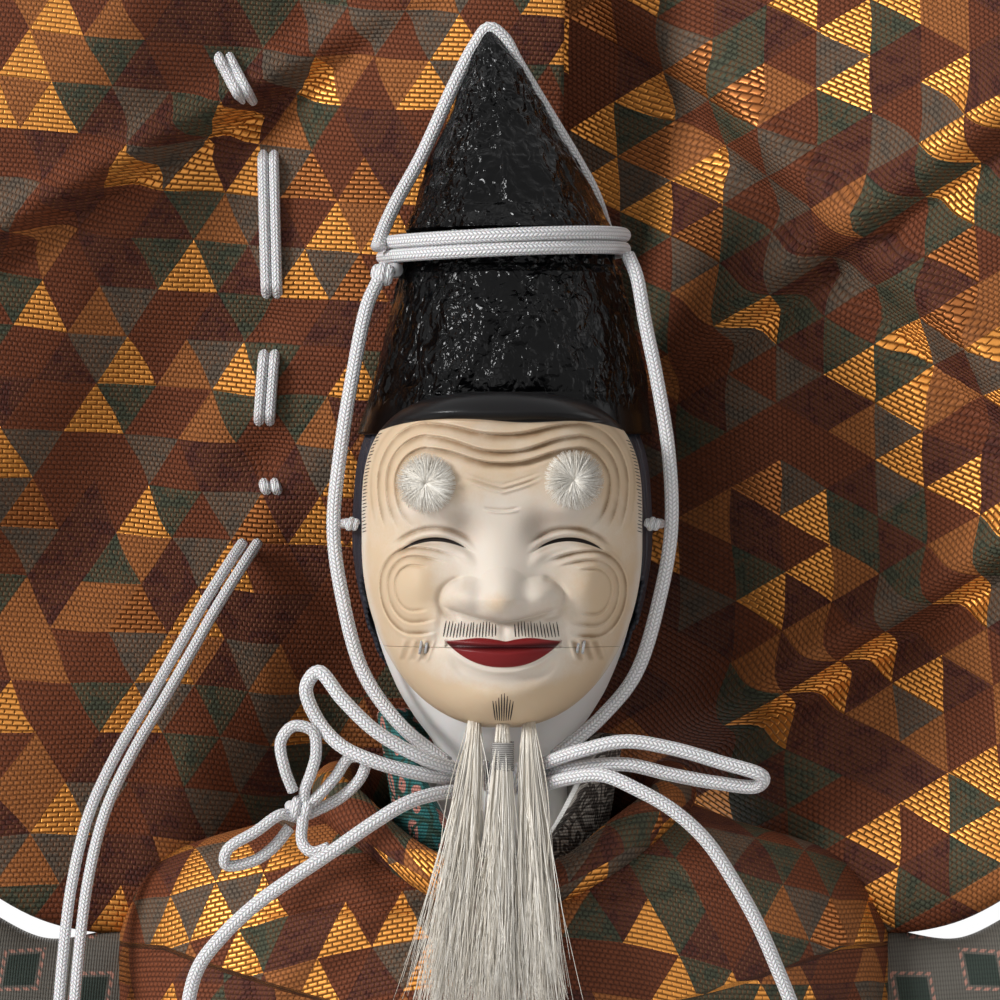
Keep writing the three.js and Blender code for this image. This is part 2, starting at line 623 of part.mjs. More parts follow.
// Collars: bands that stand round the neck and drop to the front
const collarSides = 20;
function collarBand(from, to, closed, ring) {
  const rings = [];
  const count = closed ? collarSides : Math.round((collarSides * Math.abs(to - from)) / (2 * Math.PI));
  for (let j = 0; j < count + (closed ? 0 : 1); j++) rings.push(ring(mix(from, to, j / count)));
  return loft(rings, closed);
}
// One upright section of a collar: its foot and top lie at given distances from the neck's axis.
const collarSlope = 0.16;
function collarSection(angle, { inside, thickness, low, sideTop, frontTop }) {
  const frontness = Math.max(-Math.sin(angle), 0) ** 2;
  const top = mix(sideTop, frontTop, ease(0.05, 1, frontness));
  const at = (radius, z) => {
    const reach = Math.sin(angle) < 0 ? 1.28 : 1;
    return vec(radius * Math.cos(angle), bodyDepth - 1 + radius * reach * Math.sin(angle), z);
  };
  return [
    at(inside, low),
    at(inside + thickness, low),
    at(inside + thickness + collarSlope * (top - low), top),
    at(inside + collarSlope * (top - low), top),
  ];
}
const collarFoot = torsoTop + fit;
const underCollar = {
  inside: neckRadius + 1.2, thickness: 1.3, low: collarFoot, sideTop: chin - 3.6, frontTop: collarFoot + 3,
};
const innerCollar = {
  inside: underCollar.inside + underCollar.thickness + fit, thickness: 1.5,
  low: collarFoot, sideTop: chin - 1, frontTop: collarFoot + 4.5,
};
const collarSplit = 0.03;
add("under_collar", collarBand(0, 2 * Math.PI, true, (a) => collarSection(a, underCollar)), whiteCotton);
const leftCollar = (a) => collarSection(a, innerCollar);
const rightCollar = (a) => collarSection(a, { ...innerCollar, sideTop: innerCollar.sideTop - 3 });
const frontAngle = Math.PI * 1.5;
const backAngle = Math.PI * 0.5;
const leftBand = collarBand(backAngle + collarSplit, frontAngle - collarSplit, false, leftCollar);
const backAgain = backAngle + 2 * Math.PI;
const rightBand = collarBand(frontAngle + collarSplit, backAgain - collarSplit, false, rightCollar);
add("inner_collar_left", leftBand, tealSilk);
add("inner_collar_right", rightBand, greySilk);
const neckOpening = innerCollar.inside + innerCollar.thickness + fit + 0.25;
const neckRing = (z) => {
  const reach = neckOpening + collarSlope * (z - collarFoot);
  return oval({ z, y: bodyDepth - 1, width: reach, front: reach * 1.28, back: reach, sides: collarSides });
};
const neckSpace = loft([neckRing(torsoTop - 0.1), neckRing(chin + 3)]);

// The robe's own neckband: a soft roll that lies on the shoulders and dips in front
const rollRadius = 2.7;
const rollRing = (angle) => {
  const side = Math.cos(angle);
  const forward = Math.max(-Math.sin(angle), 0);
  const reach = mix(19, 21.6, forward ** 1.5);
  const middle = vec(21 * side, bodyDepth - 1 + reach * Math.sin(angle), 0);
  middle.z = robeTop + rollRadius + fit + 0.6 - 11.6 * forward ** 2.2;
  const out = vec(Math.cos(angle), Math.sin(angle), 0);
  const section = [];
  for (let k = 0; k < 7; k++) {
    const turn = (2 * Math.PI * k) / 7;
    const rise = vec(0, 0, rollRadius * 1.15 * Math.sin(turn));
    section.push(middle.clone().addScaledVector(out, rollRadius * Math.cos(turn)).add(rise));
  }
  return section;
};
const robeGrown = robeForm(fit);
add("robe_collar", cut(collarBand(0, 2 * Math.PI, true, rollRing), robeGrown, neckSpace), brocade);

// Arms: from the shoulder out to the elbow and up to the wrist, inside the sleeves
// Distance from the middle and height above the trunk's top
const armRoute = [
  [24, -9], [45, 1], [66, 19], [80, 43], [76, 68], [62, 90],
].map(([x, rise]) => [x, torsoTop + rise]);
function sleeveDepth(x, z) {
  const out = Math.abs(x);
  const forward = 17 * ease(22, 92, out);
  const shoulder = 24 * ease(torsoTop + 40, torsoTop - 4, z) * ease(20, 40, out);
  return 35 - forward - shoulder;
}
const armPoints = (side) =>
  armRoute.map(([x, z], i) => [side * x, i === 0 ? bodyDepth + 1 : sleeveDepth(x, z), z]);
const torsoGrown = torsoForm(fit);
const armTube = (side, diameter, steps) => tube(armPoints(side), diameter, steps, 8);
const shoulderHole = (side) => tube(armPoints(side).slice(0, 3), armDiameter + 2 * fit + 1, 8, 10);

// Share of the hand's length, half width, half thickness
const handSections = [
  [0, 3.4, 3], [0.2, 4.4, 2.9], [0.45, 5, 2.6], [0.6, 4.8, 2.2], [0.85, 3.8, 1.8], [1, 2, 1],
];
function hand(side) {
  const [wristX, wristZ] = armRoute[armRoute.length - 1];
  const along = vec(-14, 4, 20).normalize();
  const start = vec(wristX, sleeveDepth(wristX, wristZ), wristZ).addScaledVector(along, fit + 0.4);
  const rings = [];
  for (const [t, wide, deep] of handSections) {
    const middle = start.clone().addScaledVector(along, handLength * t);
    const across = vec(along.z, 0, -along.x).normalize();
    const ring = [];
    for (let j = 0; j < 12; j++) {
      const a = (2 * Math.PI * j) / 12;
      const y = deep * Math.sin(a);
      ring.push(middle.clone().addScaledVector(across, wide * Math.cos(a)).add(vec(0, y, 0)));
    }
    rings.push(ring.map((p) => vec(side * p.x, p.y, p.z)));
  }
  return loft(rings);
}

// Sleeves: deep bags that hang from the raised arms; each ring runs from a low point to a high one
const sleeveRings = [
  // inner end first: low x and height above the trunk, high x and drop from the top, half thickness
  [-7, 20, -8, 0, 6],
  [2, 12, 2, 2, 6.6],
  [14, 3, 14, 2, 7],
  [28, -4, 27, 1, 7.4],
  [38, -7, 40, 0, 8],
  [45, -7, 52, -2, 8.6],
  [58, -4, 64, -5, 9],
  [74, 8, 75, -13, 9.2],
  [88, 23, 85, -26, 9],
  [95, 41, 92, -45, 7.5],
  [97, 55, 96, -58, 4],
];
const sleeveEnd = chin + sleeveTop;
const sleeveFold = (x, z) => {
  const fade = ease(torsoTop + 10, torsoTop + 40, z);
  const rise = z - chin;
  return fade * (1.5 * Math.sin(0.13 * x + 0.06 * rise - 0.309) + Math.sin(0.1 * rise - 0.07 * x + 1.484));
};
function sleeveRing([lowX, lowRise, highX, drop, half], side, inset, behind) {
  const low = vec(lowX, 0, torsoTop + lowRise);
  const high = vec(highX, 0, sleeveEnd + drop);
  const along = high.clone().sub(low);
  const length = along.length() / 2 - inset;
  const middle = low.clone().add(high).multiplyScalar(0.5);
  along.normalize();
  const ring = [];
  const sides = 16;
  for (let j = 0; j < sides; j++) {
    const a = (2 * Math.PI * (j + 0.5)) / sides;
    const flat = Math.sign(Math.sin(a)) * Math.abs(Math.sin(a)) ** 0.6;
    const p = middle.clone().addScaledVector(along, length * Math.cos(a));
    const back = behind * ease(34, 10, p.x);
    p.y = sleeveDepth(p.x, p.z) + sleeveFold(p.x, p.z) + back + (half - inset) * flat;
    ring.push(vec(side * p.x, p.y, p.z));
  }
  return ring;
}
function sleeveForm(side, behind, inset = 0) {
  const rings = sleeveRings.map((station) => sleeveRing(station, side, inset, behind));
  if (inset === 0) return loft(rings);
  const mouth = rings[0].map((p) => p.clone().add(vec(-side * 4, 0, 0)));
  return loft([mouth, ...rings.slice(0, -1)]);
}
for (const [name, side, behind] of [["left", -1, 0], ["right", 1, 17.5]]) {
  const inside = sleeveForm(side, behind, sleeveWall);
  const shell = cut(sleeveForm(side, behind), inside, shoulderHole(side), robeGrown);
  add(`${name}_arm_core`, cut(armTube(side, armDiameter, 16), torsoGrown), straw);
  add(`${name}_hand`, hand(side), shellWhite);
  add(`${name}_sleeve`, shell, brocade);
}
add(
  "robe_body",
  cut(robeForm(), torsoGrown, skirtSpace, neckSpace, shoulderHole(-1), shoulderHole(1), pegBore),
  brocade,
);
const beltRing = (rise, grow) => robeRing([beltLevel + rise, ...robeStations[3].slice(1)], grow);
const beltBody = loft([
  beltRing(-beltWidth / 2, fit + beltThickness),
  beltRing(beltWidth / 2, fit + beltThickness),
]);
const beltSpace = loft([beltRing(-beltWidth, fit), beltRing(beltWidth, fit)]);
add("waist_belt", cut(beltBody, beltSpace), brocade);

// The inner robe's sleeves hang under the arms, beside the robe's body
const innerSleeveStations = [
  [37, -24, -7, 5], [46, -29, -5.6, 6.4], [56, -28, -6.6, 6.4], [65, -22, -2, 5], [70, -16, -1.4, 2.4],
];
for (const [name, side, behind] of [["left_inner_sleeve", -1, 0], ["right_inner_sleeve", 1, 17.5]]) {
  const rings = innerSleeveStations.map(([x, low, high, half]) => {
    const ring = [];
    for (let j = 0; j < 12; j++) {
      const a = (2 * Math.PI * (j + 0.5)) / 12;
      const z = torsoTop + mix(low, high, 0.5 + 0.5 * Math.cos(a));
      const flat = Math.sign(Math.sin(a)) * Math.abs(Math.sin(a)) ** 0.7;
      ring.push(vec(side * x, sleeveDepth(x, z) + half * flat, z));
    }
    return ring;
  });
  const sleeve = sleeveForm(side, behind);
  const lowered = moved(sleeve, 0, 0, -fit * 1.4);
  add(name, cut(loft(rings), robeGrown, sleeve, lowered, shoulderHole(side)), greenBrocade);
}

// Trousers: two pleated legs that are gathered over the feet
const pleats = 7;
const hakamaStations = [
  [0, 12.5, 13, 0.03], [0.05, 18, 19, 0.05], [0.2, 19.4, 21.5, 0.06], [0.55, 19, 20.5, 0.05],
  [0.8, 17.8, 17, 0.03], [1, 16, 14, 0],
];
const hakamaBottom = floorLevel + hakamaHem;
const hakamaTop = hipLevel - fit;
function hakamaLeg(side) {
  const rings = hakamaStations.map(([share, width, reach, depth]) =>
    oval({
      z: mix(hakamaBottom, hakamaTop, share), x: (side * legSpacing) / 2, y: bodyDepth, width: width * 0.94,
      front: reach, back: reach, sides: 21, wave: (angle) => 1 + depth * Math.cos(pleats * angle),
    }),
  );
  return cut(loft(rings), legBar(side, fit));
}
for (const [name, side] of [["left", -1], ["right", 1]]) {
  add(`${name}_foot`, foot(side), whiteCotton);
  add(`${name}_leg_core`, legBar(side), bareWood);
  add(`${name}_hakama`, hakamaLeg(side), greenBrocade);
}

// Lacing of the left sleeve: paired cords that dip in and out of the cloth, and two hanging ends
const laceDiameter = 1.4;
const laceFront = (x, z) => {
  const out = sleeveDepth(Math.abs(x), z) + sleeveFold(Math.abs(x), z);
  const share = (z - sleeveEnd + 53) / 54;
  return out - 8.05 * (1 - share ** 2) ** 0.3 - laceDiameter / 2;
};
// Where each stitch starts and ends: x and height above the mask's chin, twice
const laceStitches = [
  [-35.4, 83.8, -32.2, 77.8],
  [-29.5, 71.4, -28.9, 52.8],
  [-29.2, 46.2, -29.9, 36.8],
  [-29.5, 30, -28.7, 28],
];
laceStitches.forEach(([x1, z1, x2, z2], i) => {
  const strands = [-1, 1].map((half) => {
    const points = [0, 0.33, 0.67, 1].map((t) => {
      const [x, z] = [mix(x1, x2, t) + half * laceDiameter * 0.42, chin + mix(z1, z2, t)];
      return [x, laceFront(x, z) - fit - 0.3 * Math.sin(Math.PI * t), z];
    });
    return tube(points, laceDiameter, 4, 6);
  });
  add(`sleeve_lacing_${i + 1}`, join(...strands), silkCord);
});
const cordEndPath = (shift) => [
  [-31.6 + shift, 24.9, 22], [-33.2 + shift, 21, 19.4], [-36.2 + shift, 16.6, 14.4],
  [-39.4 + shift, 12.6, 8.6], [-42.8 + shift, 7.8, 2.4], [-46.4 + shift, 2.4, -4],
  [-49.4 + shift, -2.4, -11], [-51.2 + shift, -6, -19], [-52.2 + shift, -8.4, -28],
  [-52.8 + shift, -9.8, -37], [-52.8 + shift, -10.2, -46],
];
add("left_sleeve_cord_end_1", cord(cordEndPath(-0.95), laceDiameter, 15, 8), silkCord);
add("left_sleeve_cord_end_2", cord(cordEndPath(0.95), laceDiameter, 15, 8), silkCord);

// A small cord bow at the left of the neck
const bowPaths = {
  collar_bow_loop_1: [
    [-25, -19, -7.4], [-26, -20, -4.6], [-26.4, -20.4, -1.4], [-24.9, -20.6, 0.4], [-22.6, -20.6, -0.2],
    [-22.2, -20.2, -2.8], [-22.8, -19.4, -5.2], [-23.6, -18.8, -7.4],
  ],
  collar_bow_loop_2: [
    [-22.4, -18.4, -8.4], [-20, -18.4, -5.8], [-18.2, -18.6, -3.4], [-16.4, -18.8, -3.6],
    [-16.8, -18, -5.6],
    [-19, -17.2, -8], [-21.8, -16.6, -9.6],
  ],
  collar_bow_loop_3: [
    [-26.4, -19.4, -10.2], [-29.4, -20.2, -12.2], [-32.8, -20.4, -14.4], [-33, -19.6, -16.2],
    [-29.8, -19, -15.8],
    [-27.4, -18.6, -14.2], [-25.4, -18.2, -11.8],
  ],
};
for (const [name, points] of Object.entries(bowPaths)) add(name, cord(points, laceDiameter, 10, 8), silkCord);
const bowTailPath = [[-23.8, -18.6, -10.4], [-23.8, -20.8, -13.6], [-22.6, -21.6, -14.6], [-20.6, -22, -14]];
const bowTail = cord(bowTailPath, laceDiameter, 5, 8);
add("collar_bow_knot", join(ball(-24.2, -18.2, chin - 9.6, 2, 1.6, 1.7, 10, 6), bowTail), silkCord);

export default doll;
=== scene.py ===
"""Looks of a noh doll: an old man in a smiling wooden mask, a tall lacquered hat and a brocade robe."""
import math

import bmesh
import bpy
import numpy as np
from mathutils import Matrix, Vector, noise
from mathutils.bvhtree import BVHTree


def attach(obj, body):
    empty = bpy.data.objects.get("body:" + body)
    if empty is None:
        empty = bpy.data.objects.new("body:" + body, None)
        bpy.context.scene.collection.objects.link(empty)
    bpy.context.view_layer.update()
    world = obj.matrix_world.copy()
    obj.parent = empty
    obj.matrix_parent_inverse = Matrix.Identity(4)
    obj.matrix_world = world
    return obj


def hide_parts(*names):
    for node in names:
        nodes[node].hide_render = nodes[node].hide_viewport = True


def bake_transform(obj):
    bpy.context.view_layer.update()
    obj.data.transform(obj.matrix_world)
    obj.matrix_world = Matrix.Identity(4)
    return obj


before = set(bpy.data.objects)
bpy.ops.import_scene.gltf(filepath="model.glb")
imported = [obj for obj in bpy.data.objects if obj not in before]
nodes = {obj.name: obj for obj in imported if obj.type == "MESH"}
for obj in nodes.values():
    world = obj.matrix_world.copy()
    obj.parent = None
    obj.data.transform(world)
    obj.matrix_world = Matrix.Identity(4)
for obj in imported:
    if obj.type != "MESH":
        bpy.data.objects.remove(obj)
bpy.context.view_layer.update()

# Levels and sizes in millimetres, as the frame has them; points are turned into metres where a mesh is made
MM = 0.001
CHIN = 309.0
HEAD_AXIS = 4.0
TRUNK_AXIS = 6.0
TORSO_TOP = 290.0
ROBE_TOP = 297.0
HEM = 105.0
FLOOR = 22.0
HIP = 185.0
CORD = 1.7
LACE = 1.4
TIE = 1.2
LEG_APART = 22
ROBE_AXIS = TRUNK_AXIS - 1
SIDES = (("left", -1), ("right", 1))

# Camera: straight on at the mask's height, through a long lens
MM_PER_PIXEL = 0.12
VIEW_CENTRE = (-0.24, 336.4)
MASK_PLANE = -16.0
CAMERA_DISTANCE = 900.0


def add_camera():
    data = bpy.data.cameras.new("camera")
    data.sensor_width = 36
    data.lens = 36 * CAMERA_DISTANCE / (1000 * MM_PER_PIXEL)
    data.clip_start = 0.05
    camera = bpy.data.objects.new("camera", data)
    bpy.context.scene.collection.objects.link(camera)
    x, z = VIEW_CENTRE
    camera.location = (x * MM, (MASK_PLANE - CAMERA_DISTANCE) * MM, z * MM)
    camera.rotation_euler = (math.pi / 2, 0, 0)
    bpy.context.scene.camera = camera


add_camera()


# Shapes
def clear_selection():
    for item in bpy.context.selected_objects:
        item.select_set(False)


def ease(start, end, value):
    """Rises smoothly from 0 at start to 1 at end."""
    t = np.clip((np.asarray(value, float) - start) / (end - start), 0, 1)
    return t * t * (3 - 2 * t)


def mix(a, b, t):
    return a + (b - a) * t


def hump(distance, width):
    """1 at no distance, and next to nothing at twice the width."""
    return np.exp(-((distance / width) ** 2))


def smooth_line(points, count):
    """Points on a centripetal Catmull-Rom curve through the given ones, evenly spread along it."""
    p = np.asarray(points, float)
    p = np.vstack([2 * p[0] - p[1], p, 2 * p[-1] - p[-2]])
    fine = []
    for a, b, c, d in zip(p, p[1:], p[2:], p[3:]):
        k = [0.0]
        for one, two in ((a, b), (b, c), (c, d)):
            k.append(k[-1] + max(np.linalg.norm(two - one), 1e-9) ** 0.5)
        for t in np.linspace(k[1], k[2], 24, endpoint=False):
            ab = (a * (k[1] - t) + b * (t - k[0])) / (k[1] - k[0])
            bc = (b * (k[2] - t) + c * (t - k[1])) / (k[2] - k[1])
            cd = (c * (k[3] - t) + d * (t - k[2])) / (k[3] - k[2])
            abc = (ab * (k[2] - t) + bc * (t - k[0])) / (k[2] - k[0])
            bcd = (bc * (k[3] - t) + cd * (t - k[1])) / (k[3] - k[1])
            fine.append((abc * (k[2] - t) + bcd * (t - k[1])) / (k[2] - k[1]))
    fine = np.vstack([fine, p[-2]])
    along = np.concatenate([[0], np.cumsum(np.linalg.norm(np.diff(fine, axis=0), axis=1))])
    wanted = np.linspace(0, along[-1], count)
    return np.stack([np.interp(wanted, along, fine[:, i]) for i in range(3)], axis=1)


def mesh_object(name, points, faces, uvs=None):
    """An object from points in millimetres; uvs holds one pair for each corner of each face."""
    data = bpy.data.meshes.new(name)
    data.from_pydata((np.asarray(points, float) * MM).tolist(), [], faces)
    if uvs is not None:
        layer = data.uv_layers.new(name="cloth")
        layer.data.foreach_set("uv", np.asarray(uvs, np.float32).ravel())
    data.shade_smooth()
    data.update()
    item = bpy.data.objects.new(name, data)
    bpy.context.scene.collection.objects.link(item)
    return item


def paint_points(piece, key, values):
    """Gives each point of a piece a value that its material reads."""
    layer = piece.data.attributes.new(key, "FLOAT", "POINT")
    layer.data.foreach_set("value", np.asarray(values, np.float32))


def walled(piece, thickness, offset):
    """Gives an open sheet its thickness in millimetres."""
    wall = piece.modifiers.new("wall", "SOLIDIFY")
    wall.thickness = thickness * MM
    wall.offset = offset
    apply_modifiers(piece)


def around(count, start=-math.pi / 2):
    """Evenly spread angles of a full turn, from the front on."""
    return 2 * math.pi * np.arange(count) / count + start


def tube_grid(line, radii, sides):
    """Rings round a line, without twist."""
    line = np.asarray(line, float)
    step = np.gradient(line, axis=0)
    step /= np.linalg.norm(step, axis=1)[:, None]
    side = np.cross(step[0], (0.3, 0.2, 0.93))
    side /= np.linalg.norm(side)
    angles = around(sides, 0)
    rings = []
    for centre, ahead, radius in zip(line, step, np.broadcast_to(radii, len(line))):
        side = side - ahead * np.dot(side, ahead)
        side /= np.linalg.norm(side)
        up = np.cross(ahead, side)
        ring = np.outer(np.cos(angles), side) + np.outer(np.sin(angles), up)
        rings.append(centre + radius * ring)
    return np.array(rings)


def grid_faces(rows, columns):
    """Quads between rows of points that each close to a ring."""
    faces = []
    for i in range(rows - 1):
        for j in range(columns):
            k = (j + 1) % columns
            faces.append((i * columns + j, i * columns + k, (i + 1) * columns + k, (i + 1) * columns + j))
    return faces


def capped_faces(rows, columns):
    """Faces of a tube of rings, with a cap at each end."""
    ends = [tuple(range(columns))[::-1], tuple(range((rows - 1) * columns, rows * columns))]
    return grid_faces(rows, columns) + ends


def grid_uvs(rows, columns, u, v):
    """Corner pairs for grid_faces; a row of u or v has one value more than the ring has points."""
    pairs = []
    for i in range(rows - 1):
        for j in range(columns):
            for row, column in ((i, j), (i, j + 1), (i + 1, j + 1), (i + 1, j)):
                pairs.append((u[row][column], v[row][column]))
    return pairs


def solid_tube(name, line, radii, sides):
    """A closed tube whose second UV coordinate runs along it in millimetres."""
    rings = tube_grid(line, radii, sides)
    rows = len(rings)
    along = np.concatenate([[0], np.cumsum(np.linalg.norm(np.diff(line, axis=0), axis=1))])
    u = [[j / sides for j in range(sides + 1)]] * rows
    v = [[value] * (sides + 1) for value in along]
    pairs = grid_uvs(rows, sides, u, v) + [(0.0, 0.0)] * (2 * sides)
    return mesh_object(name, rings.reshape(-1, 3), capped_faces(rows, sides), pairs)


# Materials: a term is a number or a shader socket, with the arithmetic of numbers
class Term:
    def __init__(self, finish, value):
        self.finish = finish
        self.value = value

    def zigzag(self):
        """1 at whole numbers, 0 half way between them."""
        return (self.fract() * 2.0 - 1.0).size()

    def _math(self, operation, *others):
        values = [self.value] + [other.value if isinstance(other, Term) else other for other in others]
        return self.finish.node("ShaderNodeMath", {"operation": operation}, dict(enumerate(values)))

    def __add__(self, other):
        return self._math("ADD", other)

    __radd__ = __add__

    def __sub__(self, other):
        return self._math("SUBTRACT", other)

    def __rsub__(self, other):
        return self._math("MULTIPLY_ADD", -1.0, other)

    def __mul__(self, other):
        return self._math("MULTIPLY", other)

    __rmul__ = __mul__

    def __truediv__(self, other):
        return self._math("DIVIDE", other)

    def floor(self):
        return self._math("FLOOR")

    def fract(self):
        return self._math("FRACT")

    def size(self):
        return self._math("ABSOLUTE")

    def power(self, exponent):
        return self._math("POWER", exponent)

    def above(self, limit):
        return self._math("GREATER_THAN", limit)

    def least(self, other):
        return self._math("MINIMUM", other)

    def spread(self, low, high, to_low=0.0, to_high=1.0):
        """Follows the value from one range to another, smoothly and no further."""
        values = {"Value": self, "From Min": low, "From Max": high, "To Min": to_low, "To Max": to_high}
        return self.finish.node("ShaderNodeMapRange", {"interpolation_type": "SMOOTHSTEP"}, values)


class Finish:
    """One material and its nodes."""

    def __init__(self, name, **constants):
        self.material = bpy.data.materials.new(name)
        self.material.use_nodes = True
        self.tree = self.material.node_tree
        self.tree.nodes.clear()
        self.shader = self.tree.nodes.new("ShaderNodeBsdfPrincipled")
        output = self.tree.nodes.new("ShaderNodeOutputMaterial")
        self.tree.links.new(self.shader.outputs[0], output.inputs[0])
        for socket, value in constants.items():
            self.shader.inputs[socket.replace("_", " ")].default_value = value

    def node(self, kind, settings=None, inputs=None, output=0):
        made = self.tree.nodes.new(kind)
        for key, value in (settings or {}).items():
            if key == "stops":
                self.set_ramp(made.color_ramp, value)
            else:
                setattr(made, key, value)
        for key, value in (inputs or {}).items():
            if isinstance(value, Term):
                value = value.value
            if isinstance(value, bpy.types.NodeSocket):
                self.tree.links.new(value, made.inputs[key])
            else:
                made.inputs[key].default_value = value
        return Term(self, made.outputs[output])

    @staticmethod
    def set_ramp(ramp, stops):
        while len(ramp.elements) > 1:
            ramp.elements.remove(ramp.elements[-1])
        for place, colour in stops:
            stop = ramp.elements[0] if place == stops[0][0] else ramp.elements.new(place)
            stop.position = place
            stop.color = (*colour, 1)

    def place(self, scale=1000.0):
        """Object coordinates as millimetres."""
        point = self.node("ShaderNodeTexCoord", output="Object")
        return self.node("ShaderNodeVectorMath", {"operation": "SCALE"}, {0: point, "Scale": scale})

    def parts(self, vector):
        made = self.node("ShaderNodeSeparateXYZ", None, {0: vector})
        return [Term(self, socket) for socket in made.value.node.outputs]

    def vector(self, x, y, z=0.0):
        return self.node("ShaderNodeCombineXYZ", None, {0: x, 1: y, 2: z})

    def cloth(self):
        """The piece's own UV map: millimetres on the flat cloth."""
        return self.parts(self.node("ShaderNodeUVMap", {"uv_map": "cloth"}))[:2]

    def attribute(self, name):
        return self.node("ShaderNodeAttribute", {"attribute_name": name}, output="Fac")

    def stretch(self, vector, factors):
        return self.node("ShaderNodeVectorMath", {"operation": "MULTIPLY"}, {0: vector, 1: factors})

    def warp(self, vector, scale, detail, reach):
        """The vector, pushed about by soft noise."""
        values = {"Vector": vector, "Scale": scale, "Detail": detail}
        bend = self.node("ShaderNodeTexNoise", None, values, output="Color")
        return self.node("ShaderNodeVectorMath", {"operation": "MULTIPLY_ADD"}, {0: bend, 1: reach, 2: vector})

    def noise(self, vector, scale, detail=2.0, roughness=0.5, distortion=0.0):
        values = {"Vector": vector, "Scale": scale, "Detail": detail}
        values.update({"Roughness": roughness, "Distortion": distortion})
        return self.node("ShaderNodeTexNoise", None, values)

    def voronoi(self, vector, scale, feature, dimensions="3D"):
        settings = {"voronoi_dimensions": dimensions, "feature": feature}
        values = {"Vector": vector, "Scale": scale}
        return self.node("ShaderNodeTexVoronoi", settings, values, output="Distance")

    def blend(self, factor, first, second, mode="MIX"):
        made = self.node("ShaderNodeMix", {"data_type": "RGBA", "blend_type": mode}, {0: factor}, output=2)
        for socket, colour in ((6, first), (7, second)):
            target = made.value.node.inputs[socket]
            if isinstance(colour, Term):
                self.tree.links.new(colour.value, target)
            else:
                target.default_value = (*colour, 1)
        return made

    def ramp(self, factor, stops, interpolation="LINEAR"):
        made = self.node("ShaderNodeValToRGB", {"stops": stops}, {0: factor})
        made.value.node.color_ramp.interpolation = interpolation
        return made

    def feed(self, **links):
        for socket, value in links.items():
            target = self.shader.inputs[socket.replace("_", " ")]
            if isinstance(value, Term):
                self.tree.links.new(value.value, target)
            elif isinstance(value, tuple):
                target.default_value = (*value, 1)
            else:
                target.default_value = value
        return self

    def bump(self, height, depth_mm, strength=1.0):
        values = {"Height": height, "Distance": depth_mm * MM, "Strength": strength}
        normal = self.node("ShaderNodeBump", None, values)
        self.tree.links.new(normal.value, self.shader.inputs["Normal"])
        return self


GOLD = (0.52, 0.22, 0.05)
COPPER = (0.27, 0.098, 0.03)
RUST = (0.125, 0.036, 0.015)
MAROON = (0.066, 0.019, 0.013)
DARK_GREEN = (0.046, 0.052, 0.034)
TAUPE = (0.088, 0.068, 0.052)
YARNS = [(0, GOLD), (0.17, COPPER), (0.32, RUST), (0.54, MAROON), (0.7, DARK_GREEN), (0.85, TAUPE)]
CELL_WIDTH = 7.2
CELL_HEIGHT = 6.2
FLOAT_PITCH = 0.6


def brocade_finish(name="brocade", turn=0.0):
    """Rows of woven triangles, each in one of six yarn colours; gold ones have long weft floats."""
    f = Finish(name, Specular_IOR_Level=0.2)
    u, v = f.cloth()
    if turn:
        u, v = (u * math.cos(turn) - v * math.sin(turn), u * math.sin(turn) + v * math.cos(turn))
    wobble = f.noise(f.vector(u, v), 0.09, 1.0) - 0.5
    row = (v + wobble * 1.2) / CELL_HEIGHT
    slant = (u + wobble * 1.5) / CELL_WIDTH - row * 0.5
    row_number, slant_number = row.floor(), slant.floor()
    upper = ((row - row_number) + (slant - slant_number)).above(1.0)
    dice = f.node("ShaderNodeTexWhiteNoise", {"noise_dimensions": "3D"},
                  {"Vector": f.vector(slant_number + 0.5, row_number + 0.5, upper + 0.5)})
    dice = dice * 0.74 + upper * 0.26
    yarn = f.ramp(dice, YARNS, "CONSTANT")
    floats_here = 1.0 - dice.above(0.23)
    pick = v / FLOAT_PITCH
    pick_number = pick.floor()
    across = ((pick - pick_number) * 2.0 - 1.0).size()
    end = (u / (2.1 * FLOAT_PITCH) + pick_number * 0.5).zigzag()
    brick = (1.0 - across.power(3.0)) * (1.0 - end.power(9.0))
    short_end = (u / (1.15 * FLOAT_PITCH) + pick_number * 0.5).zigzag()
    dots = (1.0 - across.power(2.0)) * (1.0 - short_end.power(4.0))
    twill_line = ((u * 0.8 + v * 1.35) / 0.5).fract() * 2.0 - 1.0
    twill_dot = (u / 0.62 + (v / 0.42).floor() * 0.5).zigzag()
    twill = (1.0 - twill_line.size().power(2.0)) * 0.55 + (1.0 - twill_dot.power(2.0)) * 0.45
    weave = floats_here * brick + (1.0 - floats_here) * (dots * 0.75 + twill * 0.3)
    worn = f.noise(f.vector(u, v), 0.5, 3.0)
    # Painted shade between the threads and painted highlight on the float tops, from the weave's height, with random
    # tone from the worn noise.
    lit = f.blend(weave * 0.78 + worn * 0.3, (0.19, 0.14, 0.13), (1.6, 1.55, 1.45))
    base = f.blend(1.0, yarn, lit, "MULTIPLY")
    speck = dice.above(0.54) * (1.0 - dots) * (1.0 - across) * worn.above(0.45)
    base = f.blend(speck * 0.8, base, COPPER)
    f.feed(Base_Color=base, Metallic=floats_here * 0.62 + 0.08, Roughness=floats_here * -0.22 + 0.62)
    return f.bump(weave, 0.2, 1.0).material


